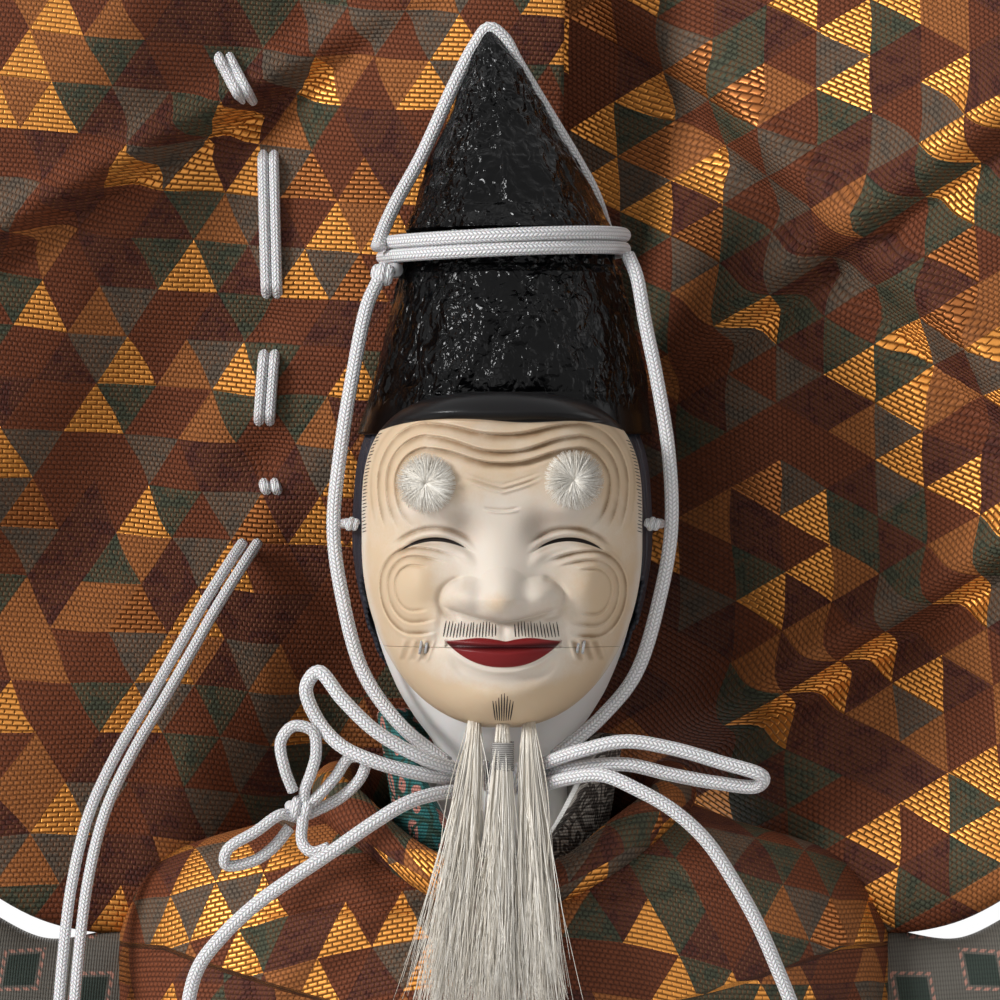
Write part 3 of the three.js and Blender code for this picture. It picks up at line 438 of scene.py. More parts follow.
def green_brocade_finish():
    """Grey cloth with dark green diamonds, each with a dotted pinkish outline."""
    f = Finish("green_brocade", Specular_IOR_Level=0.35)
    u, v = f.cloth()
    row = (v / 7.5).floor()
    x = (u / 9.0 + row * 0.5).zigzag()
    y = (v / 7.5).zigzag()
    diamond = x + y
    inner = diamond.spread(0.66, 0.6)
    ring = (diamond - 0.78).size().spread(0.09, 0.04)
    dots = (u / 0.8).zigzag().spread(0.8, 0.4) * ring
    ground = f.blend(inner, (0.115, 0.105, 0.088), (0.022, 0.034, 0.026))
    dotted = f.blend(dots, ground, (0.42, 0.21, 0.16))
    weave = twill_height(u, v, 0.45)
    # Painted shade in the twill's hollows and slight painted highlight on its tops: the colour follows the weave's
    # height.
    base = f.blend(1.0, dotted, f.blend(weave, (0.45, 0.45, 0.45), (1.1, 1.1, 1.1)), "MULTIPLY")
    f.feed(Base_Color=base, Roughness=0.72)
    return f.bump(weave, 0.12, 0.8).material


def twill_height(u, v, pitch):
    line = ((u + v) / pitch).zigzag()
    dot = ((u - v) / (pitch * 1.7)).zigzag()
    return (1.0 - line.power(2.0)) * 0.65 + (1.0 - dot.power(2.0)) * 0.35


def flowered_finish(name, ground, leaf, petal, pitch):
    """A collar silk: small curling sprigs and blossoms of knotted yarn on a ribbed ground."""
    f = Finish(name, Specular_IOR_Level=0.35)
    u, v = f.cloth()
    point = f.vector(u, v)
    warped = f.warp(point, 0.22, 1.0, (5.0, 5.0, 0.0))
    cells = f.voronoi(warped, 1 / pitch, "F1", "2D")
    edge = f.voronoi(warped, 1 / pitch, "DISTANCE_TO_EDGE", "2D")
    blossom = cells.spread(0.34, 0.28)
    heart = cells.spread(0.1, 0.06)
    stem = edge.spread(0.11, 0.07)
    coloured = f.blend(stem, f.blend(blossom, ground, petal), leaf)
    coloured = f.blend(heart, coloured, ground)
    rib = (v / 0.42).zigzag()
    knot = (u / 0.5 + (v / 0.42).floor() * 0.5).zigzag()
    weave = (1.0 - rib.power(2.0)) * (1.0 - knot.power(3.0) * 0.7)
    # Painted shade in the ribs' and knots' hollows and slight painted highlight on their tops: the colour follows the
    # weave's height.
    base = f.blend(1.0, coloured, f.blend(weave, (0.35, 0.35, 0.35), (1.15, 1.15, 1.15)), "MULTIPLY")
    f.feed(Base_Color=base, Roughness=0.6)
    return f.bump(weave, 0.14, 0.9).material


def braid_finish(name="silk_cord", colour=(0.86, 0.85, 0.86)):
    """A round silk braid: small stitches in staggered rows round the cord."""
    f = Finish(name, Specular_IOR_Level=0.5, Subsurface_Weight=0.08, Subsurface_Scale=0.0006)
    across, along = f.cloth()
    column = across * 10.0
    row = along / 0.52
    lean = ((column.floor() * 0.5).fract() - 0.25).above(0.0)
    stitch = (row + lean * 0.5 + (column.fract() - 0.5) * (lean * 2.0 - 1.0) * 0.7).fract() * 2.0 - 1.0
    side = column.zigzag()
    height = (1.0 - stitch.size().power(2.5)) * (1.0 - side.power(3.0))
    # Painted shade between the stitches: the cord is darker where the braid is low.
    shade = f.blend(height, tuple(c * 0.62 for c in colour), colour)
    f.feed(Base_Color=shade, Roughness=0.42)
    return f.bump(height, 0.14, 1.0).material


def crinkled_lacquer():
    """Black lacquer over creased paper: sharp broken wrinkles, smooth on the rolled edge."""
    f = Finish("crinkled_lacquer", Specular_IOR_Level=0.12)
    point = f.place()
    warped = f.warp(point, 0.35, 2.0, (3.2, 3.2, 3.2))
    stretched = f.stretch(warped, (1.1, 1.1, 0.55))
    cracks = f.voronoi(stretched, 0.36, "DISTANCE_TO_EDGE")
    small = f.voronoi(stretched, 0.62, "DISTANCE_TO_EDGE")
    fine = f.voronoi(stretched, 0.8, "F1")
    swell = f.noise(warped, 0.34, 1.6, 0.5, 0.6)
    smooth_edge = f.attribute("smooth_edge")
    streaks = f.noise(f.stretch(warped, (1.6, 1.6, 0.16)), 1.0, 2.0)
    patch = f.noise(point, 0.11, 1.0).spread(0.4, 0.62)
    creased = cracks.least(0.25) * 3.4 + small.least(0.25) * 1.2 + fine * 0.15 + swell * 2.6
    height = (creased * (patch * 0.7 + 0.3) + streaks * 0.35) * (1.0 - smooth_edge)
    f.feed(Base_Color=(0.0018, 0.0018, 0.002), Roughness=smooth_edge * 0.14 + 0.1)
    return f.bump(height, 0.4, 1.0).material


def plain_lacquer():
    f = Finish("stand_lacquer", Specular_IOR_Level=0.5, Coat_Weight=0.6, Coat_Roughness=0.08)
    point = f.place()
    haze = f.noise(point, 0.03, 3.0)
    f.feed(Base_Color=f.blend(haze, (0.008, 0.007, 0.008), (0.016, 0.013, 0.013)),
           Roughness=haze.spread(0.3, 0.7, 0.14, 0.24))
    return f.bump(f.noise(point, 0.5, 2.0), 0.02, 0.4).material


def mask_finish():
    """Carved wood under ivory paint, rubbed tan in its grooves, with painted shade in its hollows, on the chin and at
    the lips' parting, a painted highlight on its rim, and painted lips, lids and a black band.
    """
    f = Finish("mask_paint", Specular_IOR_Level=0.18, Subsurface_Weight=0.1, Subsurface_Scale=0.0008)
    point = f.place()
    groove = f.attribute("groove")
    age = f.attribute("age")
    mottle = f.noise(point, 0.35, 4.0)
    grain = f.noise(point, 4.0, 2.0)
    # Ivory turning tan: patina, with painted shade on the chin and a painted highlight on the rim, broken by mottled
    # tone.
    rubbed = (age + (mottle - 0.5) * 0.8 + (grain - 0.5) * 0.25 + 0.14).spread(0.0, 1.0)
    paint = f.blend(rubbed, (0.665, 0.585, 0.50), (0.585, 0.44, 0.295))
    grimy = (groove * 1.05 + groove * (mottle - 0.5) * 1.6).spread(0.0, 1.0)
    paint = f.blend(grimy, paint, (0.27, 0.175, 0.10))
    # Painted shade, greyish brown, in the eyes' inner corners, along the creases above the eyes, under the nose and
    # under the lower lip.
    shade = f.attribute("hollow")
    paint = f.blend(shade * 0.62, paint, (0.24, 0.18, 0.145))
    # The crimson darkens along the lips' parting: painted shade.
    crimson = f.blend(f.attribute("lip_line"), (0.18, 0.010, 0.011), (0.04, 0.003, 0.004))
    paint = f.blend(f.attribute("lips").spread(-0.05, 0.05), paint, crimson)
    paint = f.blend(f.attribute("band").spread(-0.05, 0.05), paint, (0.006, 0.0055, 0.006))
    paint = f.blend(f.attribute("lids").spread(-0.045, 0.045), paint, (0.02, 0.014, 0.012))
    band = f.attribute("band").spread(-0.05, 0.05)
    f.feed(Base_Color=paint, Roughness=band * -0.2 + (0.5 - f.attribute("lips").spread(-0.05, 0.05) * 0.14))
    return f.bump(mottle * 0.5 + grain * 0.4, 0.06, 0.5).material


def shell_white(name="shell_white"):
    """Ground shell paint: white, silky and faintly brushed."""
    f = Finish(name, Specular_IOR_Level=0.4, Subsurface_Weight=0.12, Subsurface_Scale=0.001)
    point = f.place()
    cloud = f.noise(point, 0.12, 3.0)
    paint = f.blend(cloud, (0.83, 0.80, 0.77), (0.88, 0.865, 0.85))
    f.feed(Base_Color=paint, Roughness=cloud.spread(0.3, 0.7, 0.42, 0.52))
    return f.bump(f.noise(point, 2.2, 3.0), 0.03, 0.4).material


def painted_head():
    f = Finish("painted_head", Specular_IOR_Level=0.4, Subsurface_Weight=0.12, Subsurface_Scale=0.001)
    point = f.place()
    cloud = f.noise(point, 0.12, 3.0)
    paint = f.blend(cloud, (0.83, 0.80, 0.77), (0.88, 0.865, 0.85))
    paint = f.blend(f.attribute("mouth"), paint, (0.5, 0.06, 0.05))
    paint = f.blend(f.attribute("lines"), paint, (0.02, 0.015, 0.014))
    f.feed(Base_Color=paint, Roughness=cloud.spread(0.3, 0.7, 0.42, 0.52))
    return f.bump(f.noise(point, 2.2, 3.0), 0.03, 0.4).material


def strand_finish(name, root, tip, roughness=0.5):
    """Hair: each strand has its own shade, from the attribute that its making gives it."""
    f = Finish(name, Specular_IOR_Level=0.5)
    shade = f.attribute("strand")
    f.feed(Base_Color=f.blend(shade, root, tip), Roughness=shade * 0.12 + roughness)
    return f.material


def hair_cap_finish():
    """Combed black hair with a blue cast: fine lines that run down over the head."""
    f = Finish("hair_black", Specular_IOR_Level=0.45)
    x, y, z = f.parts(f.place())
    comb = f.noise(f.vector(x * 3.2, y * 3.2, z * 0.16), 1.0, 3.0)
    black = f.blend(comb, (0.004, 0.0045, 0.008), (0.022, 0.025, 0.04))
    f.feed(Base_Color=black, Roughness=comb * 0.2 + 0.38)
    return f.bump(comb, 0.25, 0.9).material


def wood_finish():
    f = Finish("bare_wood", Specular_IOR_Level=0.3)
    x, y, z = f.parts(f.place())
    ring = f.noise(f.vector(x * 0.9, y * 0.9, z * 0.06), 1.0, 3.0, 0.6, 1.2)
    tones = [(0.3, (0.36, 0.21, 0.1)), (0.55, (0.52, 0.33, 0.17)), (0.7, (0.42, 0.25, 0.12))]
    f.feed(Base_Color=f.ramp(ring, tones), Roughness=ring * 0.2 + 0.55)
    return f.bump(ring, 0.08, 0.6).material


def straw_finish():
    """Bundled straw wound with thread."""
    f = Finish("straw", Specular_IOR_Level=0.35)
    x, y, z = f.parts(f.place())
    stalks = f.noise(f.vector(x * 1.3, y * 1.3, z * 0.05), 1.0, 3.0)
    wound = (z / 6.0).zigzag().spread(0.86, 0.93)
    straw = f.blend(stalks, (0.26, 0.17, 0.07), (0.62, 0.47, 0.22))
    f.feed(Base_Color=f.blend(wound, straw, (0.55, 0.5, 0.42)), Roughness=stalks * 0.2 + 0.6)
    return f.bump(stalks + wound * 0.6, 0.5, 0.8).material


def steel_finish():
    f = Finish("steel", Metallic=1.0)
    x, y, z = f.parts(f.place())
    drawn = f.noise(f.vector(x * 4.0, y * 4.0, z * 0.15), 1.0, 3.0)
    f.feed(Base_Color=f.blend(drawn, (0.42, 0.43, 0.44), (0.58, 0.58, 0.59)), Roughness=drawn * 0.2 + 0.22)
    return f.bump(drawn, 0.03, 0.5).material


def cotton_finish(name="white_cotton", colour=(0.80, 0.79, 0.76), pitch=0.32):
    """Plain woven cotton on Object coordinates."""
    f = Finish(name, Specular_IOR_Level=0.25)
    x, y, z = f.parts(f.place())
    warp = ((x + y) / pitch).zigzag()
    weft = (z / pitch).zigzag()
    weave = (1.0 - warp.power(2.0)) * 0.5 + (1.0 - weft.power(2.0)) * 0.5
    cloud = f.noise(f.place(), 0.2, 2.0)
    # Painted shade in the weave's hollows, mixed with random cloudy tone.
    shade = f.blend(weave * 0.7 + cloud * 0.3, tuple(c * 0.8 for c in colour), colour)
    f.feed(Base_Color=shade, Roughness=cloud * 0.1 + 0.75)
    return f.bump(weave, 0.07, 0.6).material


def thread_finish():
    """Grey thread wound round and round."""
    f = Finish("grey_thread", Specular_IOR_Level=0.35)
    z = f.parts(f.place())[2]
    turn = (z / 0.24).zigzag()
    # Painted shade in the grooves between turns: the thread is darker where the winding is low.
    f.feed(Base_Color=f.blend(turn, (0.44, 0.42, 0.4), (0.2, 0.19, 0.18)), Roughness=turn * 0.1 + 0.55)
    return f.bump(1.0 - turn.power(2.0), 0.1, 0.8).material


def stroke_finish():
    f = Finish("brush_ink", Specular_IOR_Level=0.3)
    wet = f.noise(f.place(), 2.0, 2.0)
    f.feed(Base_Color=f.blend(wet, (0.012, 0.009, 0.008), (0.05, 0.036, 0.028)), Roughness=wet * 0.2 + 0.4)
    return f.material


BROCADE = brocade_finish()
BROCADE_ACROSS = brocade_finish("brocade_across", math.radians(24))
GREEN_BROCADE = green_brocade_finish()
TEAL_SILK = flowered_finish("teal_silk", (0.025, 0.15, 0.145), (0.028, 0.07, 0.05), (0.58, 0.24, 0.19), 3.4)
GREY_SILK = flowered_finish("grey_silk", (0.45, 0.41, 0.36), (0.075, 0.06, 0.05), (0.055, 0.042, 0.035), 2.6)
BRAID = braid_finish()
CRINKLED = crinkled_lacquer()
STAND_LACQUER = plain_lacquer()
MASK_PAINT = mask_finish()
SHELL_WHITE = shell_white()
HEAD_PAINT = painted_head()
HAIR = hair_cap_finish()
HORSEHAIR = strand_finish("horsehair", (0.72, 0.65, 0.54), (0.92, 0.89, 0.83))
BARE_WOOD = wood_finish()
STRAW = straw_finish()
STEEL = steel_finish()
COTTON = cotton_finish()
THREAD = thread_finish()
INK = stroke_finish()


def dress(item, material, body, slot, *replaced):
    """Gives a new piece its material and body and hides the CAD nodes that it stands for; slot is not used."""
    item.data.materials.append(material)
    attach(item, body)
    if replaced:
        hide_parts(*replaced)
    return item


# Cords: each route repeats the points of the frame's own cords, with heights above the mask's chin
CORD_ROUTES = {
    "hat_cord_left": [
        (-14.7, -2.4, 54.9), (-15.3, -3.2, 53.6), (-16.4, -4.4, 51), (-18.2, -6.4, 42), (-19.6, -7.6, 33),
        (-20.4, -7.8, 24), (-19.4, -8, 16), (-16.8, -8.6, 6.6), (-12.2, -10.6, 0.2), (-6.6, -14, -4.2),
    ],
    "hat_cord_right": [
        (15.4, -1.2, 57.2), (16.4, -3.2, 54.6), (17.4, -4.6, 49), (18.8, -6.4, 42), (20.2, -7.6, 33),
        (20.5, -7.8, 24), (19.2, -8, 16), (16.2, -8.6, 6.4), (12, -10.4, 1.2), (6.4, -14, -3.4),
    ],
    "chin_bow_left_loop": [
        (-4.6, -16.6, -5.1), (-9.5, -20.4, -3.4), (-15, -21.8, -0.2), (-19, -21.6, 3.6), (-21.9, -20.6, 6.9),
        (-23.4, -19.8, 5), (-22.2, -19.6, 1.4), (-19.4, -20.6, -1.8), (-15.2, -21.4, -3.8),
        (-9.4, -19.6, -5.4), (-4.8, -15.2, -6.1),
    ],
    "chin_bow_right_loop": [
        (4.6, -16.6, -4.4), (9.2, -20.6, -2.6), (14.6, -22, -1.4), (20.2, -22.2, -2.2), (25.8, -22, -3.8),
        (31.1, -21.6, -5.6), (30.4, -20, -6.8), (25.6, -19.8, -6.4), (20.2, -20, -5.4), (14.8, -20, -4.2),
        (9.6, -18.6, -4.6), (4.8, -15.2, -5.8),
    ],
    "chin_cord_left_tail": [
        (-4.4, -16.8, -7.4), (-8.4, -20.6, -7.8), (-11.6, -22.8, -8.8), (-15.6, -24, -11.2),
        (-20.2, -24.4, -14.4), (-25, -24.4, -17.6), (-29.4, -24, -20.8), (-33.2, -23.4, -24.4),
        (-36, -22.8, -28), (-37.2, -22.4, -31.6), (-37.6, -22.4, -37), (-37.2, -22.8, -45),
        (-36.2, -23.4, -54), (-35.4, -23.8, -62),
    ],
    "chin_cord_right_tail": [
        (4.4, -16.8, -7), (8.2, -20.4, -5.8), (12, -22.6, -5.4), (16, -24, -7), (20.2, -24.6, -9.4),
        (24.2, -24.6, -13), (27.6, -24.2, -18), (30.4, -23.8, -23), (32.6, -23.4, -28), (34.6, -23, -33),
        (36.4, -22.6, -39), (37.6, -22.4, -47), (38, -22.6, -56), (37.6, -22.8, -64),
    ],
}
APEX_ROUTE = [
    (-15.2, -1.4, 58.2), (-14.5, 0.6, 60.4), (-12.9, 3.0, 64), (-9.9, 5.4, 69.6), (-5.9, 6.6, 78.4),
    (-3.3, 7.4, 83.4), (-1.6, 7.6, 85.5), (0.2, 7.6, 84.3), (1.8, 7.4, 81.4), (5.5, 7, 75.2), (9.1, 6.8, 69.2),
    (11.2, 8.2, 65.4), (12.6, 10.6, 61.6), (13.4, 13, 58.6),
]
COLLAR_BOW_ROUTE = [
    (-25, -19, -7.4), (-26, -20, -4.6), (-26.4, -20.4, -1.4), (-24.9, -20.6, 0.4), (-22.6, -20.6, -0.2),
    (-22.2, -20.2, -2.8), (-22.8, -19.4, -5.2), (-23.6, -18.8, -7.4), (-23.4, -18.2, -9),
    (-22.4, -18.4, -8.4), (-20, -18.4, -5.8), (-18.2, -18.6, -3.4), (-16.4, -18.8, -3.6),
    (-16.8, -18, -5.6), (-19, -17.2, -8), (-21.8, -16.6, -9.6), (-24.4, -17.4, -10.6),
    (-26.4, -19.4, -10.2), (-29.4, -20.2, -12.2), (-32.8, -20.4, -14.4), (-33, -19.6, -16.2),
    (-29.8, -19, -15.8), (-27.4, -18.6, -14.2), (-25.4, -18.2, -11.8),
]
BOW_TAIL_ROUTE = [(-23.8, -18.6, -10.4), (-23.8, -20.8, -13.6), (-22.6, -21.6, -14.6), (-20.6, -22, -14)]
CORD_END_ROUTE = [
    (-31.6, 24.9, 22), (-33.2, 21, 19.4), (-36.2, 16.6, 14.4), (-39.4, 12.6, 8.6), (-42.8, 7.8, 2.4),
    (-46.4, 2.4, -4), (-49.4, -2.4, -11), (-51.2, -6, -19), (-52.2, -8.4, -28), (-52.8, -9.8, -37),
    (-52.8, -10.2, -46),
]


def above_chin(route, shift=0.0):
    return [(x + shift, y, CHIN + rise) for x, y, rise in route]


def braided(name, route, diameter, steps):
    line = smooth_line(above_chin(route), steps)
    return solid_tube(name, line, diameter / 2, 16), line


def hat_cords():
    for name, route in CORD_ROUTES.items():
        item, line = braided(name + "_braid", route, CORD, 150)
        dress(item, BRAID, "doll", "silk_cord", name)
    item, _ = braided("hat_cord_apex_braid", APEX_ROUTE, CORD, 130)
    dress(item, BRAID, "doll", "silk_cord", "hat_cord_apex")


def collar_bow():
    item, line = braided("collar_bow_braid", COLLAR_BOW_ROUTE, LACE, 230)
    dress(item, BRAID, "doll", "silk_cord", "collar_bow_loop_1", "collar_bow_loop_2", "collar_bow_loop_3")


def sleeve_cord_ends():
    for index, shift in ((1, -0.95), (2, 0.95)):
        line = smooth_line(above_chin(CORD_END_ROUTE, shift), 170)
        item = solid_tube(f"sleeve_cord_end_{index}_braid", line, LACE / 2, 14)
        dress(item, BRAID, "doll", "silk_cord", f"left_sleeve_cord_end_{index}")


hat_cords()
collar_bow()
sleeve_cord_ends()


# Mask: the frame's own front surface, with its carving; rise is the height above the mask's chin
MASK_HEIGHT = 40.4
MASK_HALF_WIDTH = 16.95
MASK_WALL = 2.0
MASK_COLUMNS = 264
NOSE_BLEND = 1.2
SEAM = 9.8
POMPOMS = {"left": (-9.1, 29.4), "right": (8.6, 29.8)}
POMPOM_HAIRS = 1700
TIE_RISE = 24.5
TIE_KNOT_X = MASK_HALF_WIDTH + 0.3 + 0.95
JAW_TIE_X = 9.4


def bell(dx, dz, rx, rz):
    return np.exp(-((dx / rx) ** 2) - (dz / rz) ** 2)


def mask_width(rise):
    rise = np.asarray(rise, float)
    low = (1 - (np.clip(22 - rise, 0, 22) / 22) ** 2) ** 0.465
    high = (1 - np.clip((rise - 25) / (MASK_HEIGHT - 25), 0, 1) ** 3) ** (1 / 3)
    return MASK_HALF_WIDTH * np.where(rise < 22, low, high)


def mask_rim(rise):
    return HEAD_AXIS - 14 - 5.5 * np.clip(1 - rise / 16, 0, 1) ** 2 - 5 * ease(33, MASK_HEIGHT + 2, rise) ** 2


def mask_swell(rise, share):
    low = (1 - (1 - np.clip(rise, 0, 14) / 14) ** 2.6) ** 0.6
    high = 1 - 0.7 * np.clip((rise - 28) / (MASK_HEIGHT - 28), 0, 1) ** 4
    return 11.5 * low * high * (1 - np.abs(share) ** 2.3) ** 0.62


def mask_features(x, rise):
    down = np.clip((26.5 - rise) / 11, 0, 1)
    base = 13.0 + 1.0 * (np.abs(x - 0.1) / 5) ** 1.6
    under = np.sqrt(1 - (1 - np.clip((rise - base) / 2.6, 0, 1)) ** 2)
    tip = 4.5 * down ** 1.4 * bell(x - 0.1, 0, mix(2.9, 4.3, down ** 1.2), 1)
    tip = tip + np.clip(1 - np.hypot(x - 0.1, rise - 15.9) ** 2 / 12.5, 0, 1)
    parts = np.exp(NOSE_BLEND * tip)
    for place in (-4.1, 4.3):
        round_wing = np.clip(1 - ((x - place) / 3.2) ** 2 - ((rise - 15.5) / 2.8) ** 2, 0, 1)
        parts = parts + np.exp(NOSE_BLEND * 3.7 * round_wing ** 0.75)
    nose = np.log(parts / 3) / NOSE_BLEND * under
    cheeks = 1.3 * (bell(x + 11, rise - 17, 4, 4.5) + bell(x - 11, rise - 17, 4, 4.5))
    eyes = -0.9 * (bell(x + 8, rise - 22.2, 4, 1.8) + bell(x - 8, rise - 22.2, 4, 1.8))
    brows = 0.7 * (bell(x + 8, rise - 28, 5, 3) + bell(x - 8, rise - 28, 5, 3))
    lips = 0.9 * bell(x, rise - 9.3, 6.5, 2.2)
    chin_ball = 0.8 * bell(x, rise - 4.6, 4.5, 2.5)
    return nose + cheeks + eyes + brows + lips + chin_ball + 0.9 * ease(36.6, 38, rise)


# Forehead furrows, inner one first: height over the pompoms, height at the middle, and x beside the pompoms
FURROWS = [(32.3, 30.0, 11.7), (33.6, 31.8, 12.9), (35.1, 33.1, 14.0), (36.6, 35.2, 15.1), (38.4, 37.3, 16.2)]


def forehead_field(x, rise):
    """Number of the furrow at a place, from -1 inside to 3 at the rim; whole numbers are the cuts."""
    out = np.abs(x - 0.1)
    dip = np.exp(-((out / 5.6) ** 2.6))
    beside, above = np.clip(out - 9, 0, None), rise - 29.4
    above = np.where(above > 0, above, above * 0.72)
    reach = np.where(out < 9, rise, np.hypot(beside, above))
    angle = np.arctan2(np.abs(above), np.clip(beside, 1e-6, None))
    marks = []
    for over, middle, side in FURROWS:
        round_it = 1 / np.hypot(np.cos(angle) / (side - 9), np.sin(angle) / (over - 29.4))
        marks.append(np.where(out < 9, over - (over - middle) * dip, round_it))
    number = np.full_like(reach, -1.0)
    for k in range(len(marks) - 1):
        number += np.clip((reach - marks[k]) / (marks[k + 1] - marks[k]), 0, 1)
    return number


def lid_line(x, side):
    """The closed eye's arc on one side: its height, and how far along its half length a place is."""
    middle = -8.15 if side < 0 else 8.2
    reach = 4.1
    t = (x - middle) / reach
    tilt = 0.1 * t if side < 0 else -0.12 * t
    return 22.7 - 1.3 * t ** 2 + tilt, t


def lip_edges(x):
    t = np.clip(np.abs(x - 0.15) / 7.05, 0, 1)
    top = 10.62 + 0.35 * hump(np.abs(x - 0.3) - 3.0, 2.2) - 0.12 * hump(x - 0.5, 0.7)
    bottom = mix(7.45, 10.62, t ** 2.3)
    return mix(top, 10.62, t ** 8), bottom, t


def forehead_carving(x, rise):
    """Broad rounded ridges that run over and round the pompoms, and the frown lines between them."""
    number = forehead_field(x, rise)
    fade = ease(23.2, 26.4, rise) * (1 - ease(36.4, 37.3, rise))
    fade = fade * ease(-1, -0.2, number) * (1 - ease(2.6, 3, number))
    fade *= np.where(np.abs(x) < 9, ease(29.5, 31.5, rise), 1)
    part = number - np.floor(number)
    crest = ease(0, 0.17, part) * (1 - part) ** 0.9
    crest = np.where(number < 0, 0.5 * (1 - ease(-0.9, -0.05, number)), crest)
    wide = 0.52 + 0.48 * np.exp(-((x / 8.5) ** 4))
    relief = fade * wide * (crest - 0.4)
    hollow = hump(1 - part, 0.42) + 0.5 * hump(part, 0.05)
    groove = fade * hollow * (0.45 + 0.35 * wide)
    for lift, cut in ((0.0, 1.0), (0.62, 0.6)):
        vee = 28.3 + lift + 1.4 * (np.abs(x - 0.1) / 4.4) ** 1.15
        reach = 1 - ease(2.6, 5.0, np.abs(x - 0.1))
        relief += reach * (0.24 * hump(rise - vee, 0.2) - 0.2 * hump(rise - vee - 0.36, 0.17)) * cut
        groove += reach * 0.32 * hump(rise - vee - 0.36, 0.2) * cut
    small = 25.9 + 0.07 * x ** 2
    line = hump(rise - small, 0.16) - hump(rise - small - 0.3, 0.18)
    relief += (1 - ease(1.2, 2.4, np.abs(x))) * 0.22 * line
    return relief, groove


def cheek_carving(x, rise, side, cx, cz):
    """An apple cheek and the folds that sweep round its outer side, open towards the nose."""
    dx, dz = (x - cx) * side, rise - cz
    across = np.where(dx > 0, dx, dx * 0.52)
    reach = np.hypot(across, dz / np.where(dz > 0, 1.13, 1.46))
    inward = np.clip(-dx, 0, None)
    sweep = np.where(dz > 0, 1 - ease(3.6, 6.0, inward), 1 - ease(0.6, 3.4, inward))
    outer = np.clip((reach - 2.2) / 1.7, 0, 1)
    closing = inward * 0.52 / np.maximum(reach, 0.1)
    sweep = sweep * (1 - ease(mix(0.1, 0.6, outer), mix(0.5, 0.95, outer), closing))
    band = ease(1.75, 2.05, reach) * (1 - ease(4.2, 4.7, reach))
    part = np.mod((reach - 2.1) / 0.95, 1)
    crest = ease(0, 0.25, part) * (1 - part)
    relief = sweep * band * 0.62 * (crest - 0.35) + 0.6 * bell(dx + 0.3, dz, 2.2, 2.6)
    groove = mix(0.5, 1.0, outer) * sweep * band * (0.75 * hump(1 - part, 0.36) + 0.4 * hump(part, 0.08))
    return relief, groove


